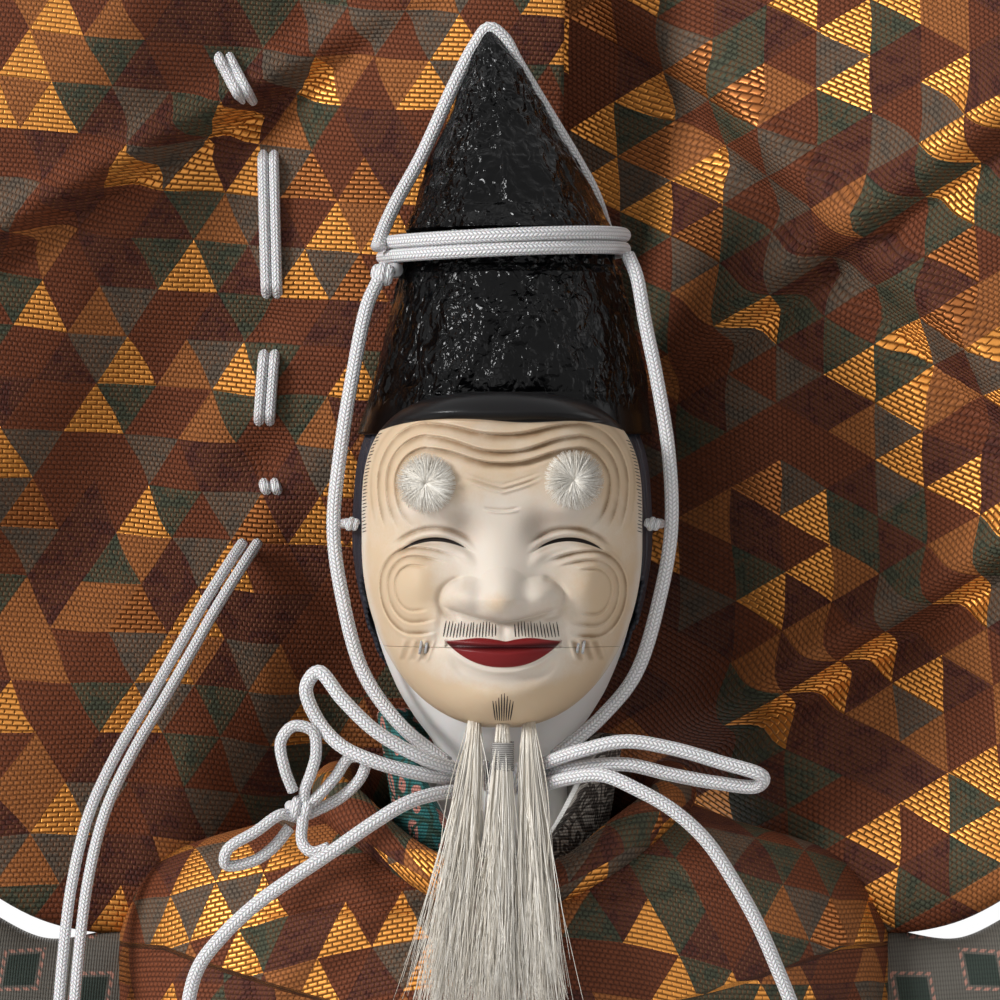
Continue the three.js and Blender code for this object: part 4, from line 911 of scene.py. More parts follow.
def carving(x, rise):
    """What the carver cut: relief in millimetres, and where paint is rubbed or laid on and where shade and highlight
    are painted.
    """
    relief, groove = forehead_carving(x, rise)
    for side, cx, cz in ((-1, -10.7, 17.2), (1, 11.0, 16.8)):
        fold_relief, fold_groove = cheek_carving(x, rise, side, cx, cz)
        relief += fold_relief
        groove += fold_groove
        out = x * side

        lid, t = lid_line(x, side)
        along = 1 - ease(0.85, 1.3, np.abs(t))
        relief += along * (0.42 * hump(rise - lid - 0.62, 0.42) - 0.42 * hump(rise - lid - 1.35, 0.28))
        relief += along * (0.5 * hump(rise - lid + 0.95, 0.8) - 0.35 * hump(rise - lid, 0.18))
        groove += along * (0.6 * hump(rise - lid - 1.3, 0.34) + 0.3 * hump(rise - lid + 0.5, 0.3))
        relief -= 0.95 * bell(x - side * 4.5, rise - 23.8, 1.9, 2.4)
        relief += 0.5 * bell(x - side * 8.6, rise - 26.2, 3.4, 1.1)
        wing = np.hypot((x - side * 4.7) / 1.12, rise - 15.5)
        behind = ease(4.6, 5.6, out) * ease(12.6, 13.6, rise)
        relief -= 0.4 * hump(wing - 2.45, 0.42) * behind
        groove += 0.25 * hump(wing - 2.45, 0.4) * behind
        fold = 7.6 + 0.12 * (13.5 - rise)
        span = ease(8.8, 10.8, rise) * (1 - ease(13, 15.5, rise))
        relief += 0.3 * span * (ease(-0.5, 0.5, out - fold) - ease(1.5, 4.5, out - fold))
        groove += 0.12 * span * hump(out - fold, 0.5)
        corner = bell(x - side * 7.9, rise - 10.4, 0.9, 1.1)
        relief -= 0.5 * corner
        relief += 0.4 * bell(x - side * 9.8, rise - 8.9, 1.3, 1.0)
        mark = out - 10.3 + 0.35 * (rise - 9.4)
        comb = np.abs(np.sin(mark * 2.5)) ** 3
        fringe = (1 - ease(1.7, 2.2, np.abs(mark))) * ease(7.9, 8.5, rise) * (1 - ease(10.2, 10.9, rise))
        relief += fringe * (0.42 * comb - 0.22)
        groove += fringe * (1 - comb) * 0.45

    under = 13.0 + 1.0 * (np.abs(x - 0.1) / 5) ** 1.6
    base = 1 - ease(5.6, 6.8, np.abs(x - 0.1))
    relief -= base * 0.25 * hump(rise - under + 0.2, 0.35)
    relief += 0.16 * bell(x, rise - 11.9, 5.6, 0.9) - 0.3 * bell(x - 0.2, rise - 11.8, 0.5, 1.0)

    top, bottom, t = lip_edges(x)
    inside = np.minimum(top - rise, rise - bottom) * (1 - t ** 6)
    parting = 10.12 - 0.3 * (1 - t ** 2)
    relief += 0.75 * np.sqrt(np.clip(inside, 0, 1.6) / 1.6) - 0.5 * hump(rise - parting, 0.34) * (t < 0.98)
    ledge = rise - (bottom - 0.55)
    mouth = 1 - ease(0.7, 1, t)
    relief += mouth * (0.22 * hump(ledge, 0.3) - 0.5 * hump(ledge + 1.2, 0.9))
    relief += 0.4 * bell(x, rise - 3.6, 4.2, 1.8)
    band = np.clip(1 - ((rise - 38.7) / 1.9) ** 2, 0, 1)
    relief += 0.8 * np.sqrt(band) * ease(36.7, 37.2, rise)

    # Painted shade: in the eyes' inner corners, along the creases above the eyes, under the nose's base and under the
    # lower lip.
    hollow = 0.75 * bell(x + 4.4, rise - 24.3, 2.3, 2.3) + 0.9 * bell(x - 4.8, rise - 24.3, 2.4, 2.4)
    hollow += 0.2 * bell(x + 7.6, rise - 25.6, 3.4, 1.0) + 0.25 * bell(x - 7.8, rise - 25.6, 3.4, 1.0)
    hollow += 0.3 * bell(x, rise - 12.5, 5, 0.7) + 0.3 * base * hump(rise - under + 0.15, 0.4)
    hollow += 0.32 * bell(x + 0.4, rise - 6.1, 6, 0.9)
    edge = np.abs(x) / np.maximum(mask_width(rise), 0.01)
    # Tan patina towards the edge, over the forehead, on the cheeks and on the nose's tip, paler between the eyes; the
    # darker tan across the chin is partly patina and partly painted shade.
    age = 0.55 * ease(0.45, 0.95, edge) + 0.55 * ease(25, 30.5, rise) + 0.85 * bell(0, rise - 2.4, 1, 4.4)
    age += 0.9 * bell(x + 10.8, rise - 17, 3.9, 5.6) + 0.6 * bell(x - 10.8, rise - 17, 3.8, 5)
    age += 0.55 * bell(x + 0.6, rise - 15.4, 2.1, 1.5) - 0.4 * bell(x, rise - 20.5, 3.2, 5)
    age += 0.35 * (bell(x + 6.5, rise - 3.4, 3, 2.5) + bell(x - 6.5, rise - 3.4, 3, 2.5))
    # Paler paint in bands under and over the lips, and a painted highlight along the rim.
    worn = 0.5 * bell(x, rise - 6.6, 6, 1.4) + 0.35 * bell(x, rise - 11.6, 6, 1.2)
    age -= worn + 0.5 * ease(0.94, 0.99, edge)

    lids = -np.ones_like(x)
    for side in (-1, 1):
        lid, t_eye = lid_line(x, side)
        thick = 0.25 * (1 - np.clip(np.abs(t_eye), 0, 1.2) ** 3)
        lids = np.maximum(lids, thick - np.abs(rise - lid))
    lip_rim = hump(inside + 0.3, 0.3) * mouth
    age -= 0.6 * lip_rim
    band_edge = 37.15 - 0.5 * hump(x - 3, 5) - 1.5 * (np.abs(x) / 15) ** 4
    # The value at the lips' parting is painted shade along it.
    paints = {
        "groove": groove, "age": age, "hollow": hollow, "lids": lids, "lips": np.where(t < 1, inside, -1.0),
        "lip_line": hump(rise - parting, 0.4), "band": rise - band_edge,
    }
    return relief, paints


def mask_surface(x, rise):
    """The front's y at a place of the mask, with its relief and paints."""
    share = np.clip(np.abs(x) / np.maximum(mask_width(rise), 0.01), 0, 1)
    relief, paints = carving(x, rise)
    calm = 1 - share ** 6
    return mask_rim(rise) - mask_swell(rise, share) - (mask_features(x, rise) + relief) * calm, paints


def mask_piece(name, rises):
    """A carved piece of the mask between two heights: a front sheet and a hollow back, closed all round."""
    front_share = np.sin(np.linspace(-1, 1, MASK_COLUMNS + 1) * math.pi / 2)
    back_share = np.sin(np.linspace(1, -1, MASK_COLUMNS // 4 + 1) * math.pi / 2)
    rows, paints = [], []
    for rise in rises:
        width = float(mask_width(rise))
        inner = max(width - 1.5, width * 0.4)
        x = front_share * width
        height = np.full_like(x, rise)
        y, paint = mask_surface(x, height)
        wall = MASK_WALL - 0.6 - 0.9 * float(ease(34, 37.5, rise))
        depth = 0.6 + wall * (1 - back_share ** 4)
        back_y = mask_rim(rise) - mask_swell(rise, back_share) + depth
        front = np.stack([x, y, CHIN + height], axis=1)
        back = np.stack([back_share * inner, back_y, np.full_like(back_share, CHIN + rise)], axis=1)
        rows.append(np.vstack([front, back]))
        paints.append({key: np.append(value, np.zeros(len(back))) for key, value in paint.items()})
    piece = mesh_object(name, np.vstack(rows), capped_faces(len(rows), rows[0].shape[0]))
    for key in paints[0]:
        paint_points(piece, key, np.concatenate([paint[key] for paint in paints]))
    turn_outward(piece)
    return piece


def turn_outward(piece):
    shape = bmesh.new()
    shape.from_mesh(piece.data)
    bmesh.ops.recalc_face_normals(shape, faces=shape.faces)
    shape.to_mesh(piece.data)
    shape.free()
    piece.data.shade_smooth()


def carved_mask():
    top = MASK_HEIGHT - 1.8 * np.cos(np.linspace(0.03, 1, 22) * math.pi / 2) ** 1.6 - 0.04
    face = mask_piece("carved_mask_face", np.concatenate([np.linspace(SEAM + 0.02, 38.5, 300), top]))
    jaw = mask_piece("carved_mask_jaw", np.concatenate([
        0.12 + 1.2 * (1 - np.cos(np.linspace(0, 1, 16) * math.pi / 2)), np.linspace(1.42, SEAM - 0.02, 84),
    ]))
    dress(face, MASK_PAINT, "mask", "mask_wood", "mask_face")
    dress(jaw, MASK_PAINT, "jaw", "mask_wood", "mask_jaw")


def on_mask(x, rise, proud=0.05):
    y, _ = mask_surface(np.asarray(x, float), np.asarray(rise, float))
    return y - proud


def strokes(name, lines, width, body):
    """Brush strokes on the mask: each is a ribbon that tapers to both ends; a line is start and end."""
    points, faces = [], []
    steps = np.linspace(0, 1, 6)
    for (x1, z1), (x2, z2) in lines:
        x, z = mix(x1, x2, steps), mix(z1, z2, steps)
        across = np.array([z2 - z1, -(x2 - x1)])
        across /= np.hypot(*across)
        half = width / 2 * np.sin((0.12 + 0.8 * steps) * math.pi) ** 0.7
        start = len(points)
        for side in (-1, 1):
            px, pz = x + side * half * across[0], z + side * half * across[1]
            points += list(np.stack([px, on_mask(px, pz), CHIN + pz], axis=1))
        count = len(steps)
        faces += [(start + i, start + i + 1, start + count + i + 1, start + count + i) for i in range(count - 1)]
    piece = mesh_object(name, points, faces)
    for polygon in piece.data.polygons:
        if polygon.normal.y > 0:
            polygon.flip()
    return dress(piece, INK, body, "mask_wood")


def painted_strokes():
    """Moustache, chin tuft and the fine hairs that are painted along both edges of the mask."""
    chance = np.random.default_rng(7)
    moustache = []
    for start, end, count in ((-7.0, -0.8, 17), (1.6, 6.8, 14)):
        for x in np.linspace(start, end, count):
            lean = 0.05 * x + chance.uniform(-0.06, 0.06)
            low = 11.12 + 0.1 * math.cos(x * 0.6) + chance.uniform(-0.08, 0.05)
            tall = 1.8 - 0.5 * math.exp(-((x / 1.6) ** 2)) + chance.uniform(-0.2, 0.15)
            moustache.append(((x, low), (x - lean, low + tall)))
    strokes("moustache_strokes", moustache, 0.15, "mask")
    tuft = [((0.15 + 0.36 * i, 0.95 + 0.05 * abs(i)), (0.2 + 0.5 * i, 3.9 + 0.5 * math.cos(i * 1.4)))
            for i in (-2.6, -1.9, -1.2, -0.5, 0.2, 0.9, 1.6, 2.3)]
    strokes("chin_strokes", tuft, 0.17, "jaw")
    edge_hairs = []
    for side, top, bottom in ((-1, 35.4, 23.5), (1, 34.8, 23.5)):
        for rise in np.arange(bottom, top, 0.42):
            reach = float(mask_width(rise))
            x = side * (reach - 0.03)
            edge_hairs.append(((x, rise), (side * (reach - 0.5 - chance.uniform(0, 0.2)), rise + 0.2)))
    strokes("edge_hair_strokes", edge_hairs, 0.13, "mask")


# Hair: bundles of single strands, each a thin three-sided tube
def strand_bundle(name, lines, radii, shades, sides=3):
    """Lines has the shape (strands, points, 3); radii holds one for each point."""
    lines = np.asarray(lines, float)
    count, steps, _ = lines.shape
    ahead = np.gradient(lines, axis=1)
    ahead /= np.maximum(np.linalg.norm(ahead, axis=2, keepdims=True), 1e-9)
    side = np.cross(ahead, (0.31, 0.87, 0.38))
    side /= np.maximum(np.linalg.norm(side, axis=2, keepdims=True), 1e-9)
    up = np.cross(ahead, side)
    angles = around(sides, 0)
    ring = side[:, :, None] * np.cos(angles)[:, None] + up[:, :, None] * np.sin(angles)[:, None]
    points = lines[:, :, None] + ring * np.asarray(radii, float)[None, :, None, None]
    faces = []
    size = steps * sides
    shape = capped_faces(steps, sides)
    for k in range(count):
        faces += [tuple(k * size + i for i in face) for face in shape]
    piece = mesh_object(name, points.reshape(-1, 3), faces)
    paint_points(piece, "strand", np.repeat(shades, size))
    return piece


def brow_pompoms():
    """Round tufts of white hair that lie flat on the forehead, combed out from a hollow centre."""
    chance = np.random.default_rng(11)
    steps = np.linspace(0, 1, 6)
    for side, (cx, cz) in POMPOMS.items():
        seat = float(on_mask(cx, cz, 0.0))
        lines = []
        for _ in range(POMPOM_HAIRS):
            angle = chance.uniform(0, 2 * math.pi)
            reach = 3.6 * chance.uniform(0.3, 1.05) ** 0.4
            lift = chance.uniform(0.1, 1.0)
            bend = chance.normal(0.12, 0.1)
            turn = angle + bend * steps
            out = 0.04 + (reach - 0.04) * steps
            x, z = cx + out * np.cos(turn), cz + out * np.sin(turn)
            skin = on_mask(x, z, 0.0)
            rise = 0.5 + 0.75 * lift + 0.75 * np.sin(np.clip(steps * 1.1, 0, 1) * math.pi * 0.7) * lift
            y = np.minimum(skin - 0.12, mix(seat, skin, steps) - rise * (1 - 0.3 * steps ** 3))
            lines.append(np.stack([x, y, CHIN + z], axis=1))
        radii = 0.045 * (1.15 - 0.75 * steps)
        piece = strand_bundle(f"{side}_brow_pompom", lines, radii, chance.uniform(0.45, 1, POMPOM_HAIRS))
        dress(piece, HORSEHAIR, "mask", "horsehair", f"{side}_brow_tuft")


BEARD_ROOTS = {
    "beard_left": (-3.3, -7.0, 1.1, 2.8, 430), "beard_middle": (0.1, -1.2, 0.6, 2.2, 420),
    "beard_right": (3.2, 4.4, 1.0, 2.6, 400),
}
BEARD_LENGTH = 41.0
BEARD_LEAN = 11.0


def beard():
    """Three locks of straight horsehair that hang from the chin and lean out over the chest."""
    chance = np.random.default_rng(5)
    steps = np.linspace(0, 1, 15)
    for name, (x, foot, rise, spread, count) in BEARD_ROOTS.items():
        root_y = float(on_mask(x, max(rise, 1), 0.0)) + 1.1
        lines = []
        for _ in range(count):
            angle, share = chance.uniform(0, 2 * math.pi), chance.uniform(0, 1) ** 0.5
            reach = BEARD_LENGTH * chance.uniform(0.62, 0.985) ** 0.8
            wild = 2.2 if chance.uniform() < 0.16 else 1.2
            fan = chance.normal(0, 0.4) * spread * wild
            full = 0.75 + (spread * 0.92 - 0.75) * ease(0, 0.8, steps)
            sway = chance.normal(0, 0.34) * wild * np.sin(steps * math.pi * chance.uniform(0.7, 2.1))
            px = mix(x, foot, steps ** 1.2) + full * share * math.cos(angle) + fan * steps ** 2.2 + sway
            py = root_y - BEARD_LEAN * steps ** 0.8 + 0.62 * full * share * math.sin(angle)
            pz = CHIN + rise - reach * steps
            lines.append(np.stack([px, py, pz], axis=1))
        radii = 0.058 * (1.0 - 0.65 * steps ** 3)
        piece = strand_bundle(name + "_hair", lines, radii, chance.uniform(0.1, 1, count))
        dress(piece, HORSEHAIR, "jaw", "horsehair", name)


def beard_thread():
    """Grey thread wound close round the middle lock."""
    x, _, rise, _, _ = BEARD_ROOTS["beard_middle"]
    root_y = float(on_mask(x, 1.0, 0.0)) + 1.1
    turns = 12
    t = np.linspace(0, 1, turns * 20 + 1)
    z = CHIN - 1.55 - 3.3 * t
    y = root_y - BEARD_LEAN * ((CHIN + rise - z) / BEARD_LENGTH) ** 0.8
    angle = 2 * math.pi * turns * t
    line = np.stack([x + 1.18 * np.cos(angle), y + 0.95 * np.sin(angle), z], axis=1)
    piece = solid_tube("beard_thread", line, 0.16, 8)
    dress(piece, THREAD, "jaw", "grey_thread", "beard_binding")


def knot_mesh(name, centre, size, cord, turns, steps=160):
    """A cord wound into a small round knot."""
    t = np.linspace(0, 1, steps)
    angle = 2 * math.pi * turns * t
    tip = math.pi * (0.12 + 0.76 * t)
    ball = np.stack([np.cos(tip), np.sin(tip) * np.cos(angle), np.sin(tip) * np.sin(angle)], axis=1)
    line = np.asarray(centre) + ball * np.asarray(size)
    return solid_tube(name, line, cord / 2, 12)


def join_pieces(name, pieces):
    clear_selection()
    for piece in pieces:
        piece.select_set(True)
    bpy.context.view_layer.objects.active = pieces[0]
    bpy.ops.object.join()
    pieces[0].name = name
    pieces[0].data.name = name
    pieces[0].select_set(False)
    return pieces[0]


def small_knots():
    """The chin knot, the collar bow's knot with its cut end, and the ties of the mask and of its jaw."""
    chin_knot = knot_mesh("chin_knot_braid", (0, -15.4, CHIN - 5.6), (3.1, 1.35, 1.75), CORD, 2.6)
    dress(chin_knot, BRAID, "doll", "silk_cord", "chin_knot")
    wound = knot_mesh("collar_knot_braid", (-24.2, -18.2, CHIN - 9.6), (1.25, 0.9, 1.0), LACE, 2.2)
    tail = solid_tube("collar_tail", smooth_line(above_chin(BOW_TAIL_ROUTE), 36), LACE / 2, 14)
    knot = join_pieces("collar_knot_braid", [wound, tail])
    dress(knot, BRAID, "doll", "silk_cord", "collar_bow_knot")
    for side, sign in (("left", -1), ("right", 1)):
        place = (sign * TIE_KNOT_X, mask_rim(TIE_RISE), CHIN + TIE_RISE)
        knot = knot_mesh(f"{side}_tie_knot_braid", place, (0.75, 0.5, 0.5), 0.8, 2.6, 110)
        dress(knot, BRAID, "mask", "silk_cord", f"{side}_tie_knot")
        seam_y = float(on_mask(sign * JAW_TIE_X, SEAM, 0.0))
        turn = 2 * math.pi * np.linspace(0, 1, 60)
        ties = []
        for number, shift in enumerate((-0.34, 0.34)):
            x = sign * JAW_TIE_X + shift + 0.12 * np.sin(turn)
            y, z = seam_y + 0.85 + 1.05 * np.cos(turn), CHIN + SEAM + 0.75 * np.sin(turn)
            ties.append(solid_tube(f"{side}_tie_{number}", np.stack([x, y, z], axis=1), 0.17, 8))
        dress(join_pieces(f"{side}_jaw_tie_thread", ties), BRAID, "mask", "silk_cord", f"{side}_jaw_tie")


def mask_tie():
    """The cord that holds the mask: round the back of the head, from knot to knot."""
    reach_x, reach_back = 17.2 + 2.5, 21 + 2.5
    knot_y, level = float(mask_rim(TIE_RISE)), CHIN + TIE_RISE
    route = [(-TIE_KNOT_X, knot_y + 0.95, level)]
    for turn in (-0.08, -0.28, -0.5, -0.72, -0.92):
        angle = math.pi * (1 + turn)
        route.append((reach_x * math.cos(angle), HEAD_AXIS + reach_back * math.sin(angle), level))
    route.append((TIE_KNOT_X, knot_y + 0.95, level))
    piece = solid_tube("mask_tie_braid", smooth_line(route, 220), TIE / 2, 12)
    piece.data.materials.append(BRAID)
    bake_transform(piece)
    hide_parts("mask_tie_cord")


# Hat: share of its height, middle x and y, half width, reach to the front and to the back
HAT_LEVEL = 344.5
HAT_HEIGHT = 48.0
HAT_STATIONS = np.array([
    [0, 0.3, 4, 18.2, 18.64, 22.57],
    [0.1, 0.8, 4.8, 17.1, 17.9, 20.6],
    [0.162, 1, 5, 16.6, 17.6, 19.8],
    [0.305, 1, 5.2, 14.8, 16.3, 18],
    [0.4115, 0.9, 5.5, 13.5, 14.6, 16.2],
    [0.429, 0.8, 5.6, 13, 13.9, 15.6],
    [0.51, 0.8, 5.8, 12.4, 13.3, 15],
    [0.523, 0.8, 5.8, 12.6, 14.9, 15.2],
    [0.581, 0.6, 6, 11.4, 13.2, 13.9],
    [0.706, 0, 6.4, 8.9, 10.4, 10.9],
    [0.857, -0.6, 7, 4.9, 5.9, 6],
    [0.9465, -1.2, 7.4, 2.5, 3, 3],
    [1, -1.6, 7.6, 0.7, 0.8, 0.8],
])


def hat_at(share):
    return [float(np.interp(share, HAT_STATIONS[:, 0], HAT_STATIONS[:, i])) for i in range(1, 6)]


def hat_winding():
    """Two turns of the cord round the hat, closed by a knot at the left."""
    turns, pitch, rise = 2.16, CORD + 0.03, 0.44
    line = []
    for turn in np.linspace(-0.04, turns, 300):
        angle = math.pi * 1.08 - turn * 2 * math.pi
        x, y, width, front, back = hat_at(rise)
        clear = CORD / 2 + 0.65
        reach = front if math.sin(angle) < 0 else back
        px = x - 0.6 + (width + clear + 0.4) * math.cos(angle)
        level = HAT_LEVEL + (rise + 0.03) * HAT_HEIGHT + 0.062 * px + pitch * (turn - 1)
        line.append((px, y + (reach + clear) * math.sin(angle), level))
    coil = solid_tube("hat_winding_coil", line, CORD / 2, 16)
    knot = knot_mesh("hat_side_knot", (-14.5, -2.5, CHIN + 54.9), (0.85, 0.9, 0.8), 1.5, 2.6, 120)
    dress(join_pieces("hat_cord_wrap_braid", [coil, knot]), BRAID, "doll", "silk_cord", "hat_cord_wrap")


def hat():
    """A tall cap of creased paper under black lacquer, with a smooth rolled edge and a lip above the cord."""
    places = [np.linspace(0, 1, 230), HAT_STATIONS[:, 0], np.linspace(0.5, 0.545, 16)]
    shares = np.unique(np.concatenate(places))
    sides = 210
    angles = around(sides)
    kernel = np.array([0.25, 0.5, 0.25])
    columns = [np.interp(shares, HAT_STATIONS[:, 0], HAT_STATIONS[:, i]) for i in range(1, 6)]
    fitted = np.stack(columns, axis=1)
    for _ in range(4):
        fitted[1:-2] = sum(kernel[k] * fitted[k:len(fitted) - 3 + k] for k in range(3))
    rings, edge = [], []
    for share, (x, y, width, front, back) in zip(shares, fitted):
        reach = np.where(np.sin(angles) < 0, front, back)
        ridge = 1 + 0.05 * hump(angles + math.pi / 2, 0.16) * ease(0.52, 0.7, share)
        px, py = x + width * np.cos(angles) * 0.995, y + reach * np.sin(angles) * ridge * 0.995
        level = HAT_LEVEL + share * HAT_HEIGHT + 1.5 * float(ease(0.75, 1, share))
        calm = float(ease(0.055, 0.12, share)) * (1 - 0.8 * float(ease(0.93, 1.0, share)))
        push = []
        for a, b in zip(px, py):
            one = noise.noise((a * 0.2, b * 0.2, level * 0.1))
            two = abs(noise.noise((a * 0.36, b * 0.36, level * 0.24 + 40)))
            three = abs(noise.noise((a * 0.85 + 9, b * 0.85, level * 0.6)))
            cloud = noise.noise((a * 0.11, b * 0.11 + 7, level * 0.08))
            rough = 0.2 + 0.8 * min(1, max(0, 0.4 + 2.2 * cloud))
            push.append(0.25 * one + rough * (0.3 - 0.75 * two - 0.3 * three))
        # Room for the mask's top edge as the mask lifts
        room = np.exp(-(((px - 1.3) / 7) ** 4)) * hump(level - 348.8, 1.5) * (np.sin(angles) < 0)
        push = np.array(push) * calm - 0.75 * room
        size = np.hypot(px - x, py - y)
        scale = 1 + push / np.maximum(size, 1.5)
        rings.append(np.stack([x + (px - x) * scale, y + (py - y) * scale, np.full(sides, level)], axis=1))
        edge.append(np.full(sides, 1 - float(ease(0.05, 0.11, share))))
    faces = grid_faces(len(rings), sides)
    faces.append(tuple(range((len(rings) - 1) * sides, len(rings) * sides)))
    piece = mesh_object("lacquered_hat", np.vstack(rings), faces)
    paint_points(piece, "smooth_edge", np.concatenate(edge))
    turn_outward(piece)
    walled(piece, 0.7, -1)
    dress(piece, CRINKLED, "doll", "lacquered_paper", "hat")


def apply_modifiers(piece):
    clear_selection()
    piece.select_set(True)
    bpy.context.view_layer.objects.active = piece
    for modifier in list(piece.modifiers):
        bpy.ops.object.modifier_apply(modifier=modifier.name)
    piece.select_set(False)
    piece.data.shade_smooth()


# Cloth: sheets on grids of points, whose UV map holds millimetres on the flat cloth
def smooth_rows(stations, count):
    """Smoothly spread rows of numbers between the given ones."""
    stations = np.asarray(stations, float)
    places = np.linspace(0, len(stations) - 1, count)
    padded = np.vstack([2 * stations[0] - stations[1], stations, 2 * stations[-1] - stations[-2]])
    index = np.minimum(places.astype(int), len(stations) - 2)
    t = (places - index)[:, None]
    a, b, c, d = (padded[index + k] for k in range(4))
    return 0.5 * (2 * b + (c - a) * t + (2 * a - 5 * b + 4 * c - d) * t ** 2 + (3 * b - a - 3 * c + d) * t ** 3)


def cloth_sheet(name, rows, u, v, thickness, turn=0.0):
    """A sheet through rows of points, given its thickness outwards and inwards; u and v are on the flat."""
    rows = np.asarray(rows, float)
    count, across, _ = rows.shape
    u, v = np.asarray(u, float), np.asarray(v, float)
    u, v = u * math.cos(turn) - v * math.sin(turn), u * math.sin(turn) + v * math.cos(turn)
    item = mesh_object(name, rows.reshape(-1, 3), grid_faces(count, across), grid_uvs(count, across, u, v))
    turn_outward(item)
    walled(item, thickness, 0)
    return item


def arc_lengths(rows):
    """Lengths round each row, from its first point to the same point again."""
    closed = np.concatenate([rows, rows[:, :1]], axis=1)
    step = np.linalg.norm(np.diff(closed, axis=1), axis=2)
    return np.concatenate([np.zeros((len(rows), 1)), np.cumsum(step, axis=1)], axis=1)


WAVE_COUNT = 5


def waves(x, z, seed, size):
    """Soft irregular folds: a sum of bent waves with seeded directions."""
    chance = np.random.default_rng(seed)
    total = np.zeros_like(x)
    for _ in range(WAVE_COUNT):
        angle = chance.uniform(-0.5, 0.9)
        length = size * chance.uniform(0.7, 1.7)
        along = x * math.cos(angle) + z * math.sin(angle)
        bend = 0.9 * np.sin((z * math.cos(angle) - x * math.sin(angle)) / (length * 1.9) + chance.uniform(0, 6))
        swing = np.sin(along / length * math.pi + bend + chance.uniform(0, 6))
        total += (1 - np.abs(swing)) * chance.uniform(0.5, 1)
    return total / WAVE_COUNT


# Inner end first: low x and height above the trunk, high x and drop from the top, half thickness
SLEEVE_STATIONS = [
    [-7, 20, -8, 0, 6], [2, 12, 2, 2, 6.6], [14, 3, 14, 2, 7], [28, -4, 27, 1, 7.4], [38, -7, 40, 0, 8],
    [45, -7, 52, -2, 8.6], [58, -4, 64, -5, 9], [74, 8, 75, -13, 9.2], [88, 23, 85, -26, 9],
    [95, 41, 92, -45, 7.5], [97, 55, 96, -58, 4],
]
SLEEVE_TOP = CHIN + 104


def sleeve_depth(x, z):
    out = np.abs(x)
    shoulder = 24 * ease(TORSO_TOP + 40, TORSO_TOP - 4, z) * ease(20, 40, out)
    return 35 - 17 * ease(22, 92, out) - shoulder


def sleeve_fold(x, z):
    rise = z - CHIN
    fold = 1.5 * np.sin(0.13 * x + 0.06 * rise - 0.309) + np.sin(0.1 * rise - 0.07 * x + 1.484)
    return ease(TORSO_TOP + 10, TORSO_TOP + 40, z) * fold


def line_side(x, z, start, end):
    """Signed distance from the line between two places, positive above it, and the share along it."""
    (x1, z1), (x2, z2) = start, end
    length = math.hypot(x2 - x1, z2 - z1)
    above = ((x2 - x1) * (z - z1) - (z2 - z1) * (x - x1)) / length
    return above, ((x2 - x1) * (x - x1) + (z2 - z1) * (z - z1)) / length ** 2


def sleeve_drape(side, x, z):
    """How far the front of a sleeve stands out in folds, in the sleeve's own x."""
    free = ease(12, 30, x) * ease(2, 9, SLEEVE_TOP - z) + 0.25
    folds = 3.4 * waves(x, z, 21 if side < 0 else 34, 26) - 1.2
    if side < 0:
        away, _ = line_side(-x, z, (-46, 379), (-14, 398))
        folds += 2.4 * hump(away - 0.8, 2.2) - 2.0 * hump(away + 2.2, 1.5)
        column = hump(x - 29.5, 3.2)
        for hole in (CHIN + 75, CHIN + 49.5, CHIN + 33):
            folds -= 1.6 * column * hump(z - hole, 3.0)
        folds += 0.5 * column
    else:
        away, along = line_side(x, z, (14, 400), (60, 352))
        folds += (2.6 * hump(away - 1, 3.0) - 2.2 * hump(away + 3, 2.4)) * ease(-0.2, 0.2, along)
        away, along = line_side(x, z, (18, 352), (70, 390))
        folds += 2.2 * hump(away - 1, 3.4) - 1.8 * hump(away + 3.4, 2.2)
        away, along = line_side(x, z, (22, 306), (62, 330))
        folds += 2.4 * hump(away - 1, 3.2) - 2.0 * hump(away + 3.2, 2.2)
    return free * folds


def sleeves():
    """Deep brocade bags, raised so that their fronts stand behind the head."""
    across = 220
    angles = around(across, math.pi / across)
    for name, side, behind, turn in (("left", -1, 0.0, 0.06), ("right", 1, 17.5, 0.5)):
        rows, flat_u, flat_v = [], [], []
        for low_x, low, high_x, drop, half in smooth_rows(SLEEVE_STATIONS, 130):
            low_point = np.array([low_x, 0, TORSO_TOP + low])
            high_point = np.array([high_x, 0, SLEEVE_TOP + drop])
            reach = (high_point - low_point) / 2
            middle = (high_point + low_point) / 2
            p = middle + np.outer(np.cos(angles), reach)
            x, z = p[:, 0], p[:, 2]
            flat = np.sign(np.sin(angles)) * np.abs(np.sin(angles)) ** 0.6
            front = np.clip(-np.sin(angles) * 2.5, 0, 1)
            drape = sleeve_drape(side, x, z) * front
            y = sleeve_depth(x, z) + sleeve_fold(x, z) + behind * ease(34, 10, x)
            y = y + (half - 0.5) * flat - drape
            rows.append(np.stack([side * x, y, z], axis=1))
            u = x * side + 0.55 * drape
            flat_u.append(np.append(u, u[0]))
            length = np.linalg.norm(reach)
            seam = np.where(angles < math.pi, 3.0, 0.0) * length
            v = z + 0.4 * drape + seam
            flat_v.append(np.append(v, v[0]))
        piece = cloth_sheet(f"{name}_sleeve_brocade", rows, flat_u, flat_v, 0.5, turn)
        dress(piece, BROCADE, "doll", "brocade", f"{name}_sleeve")


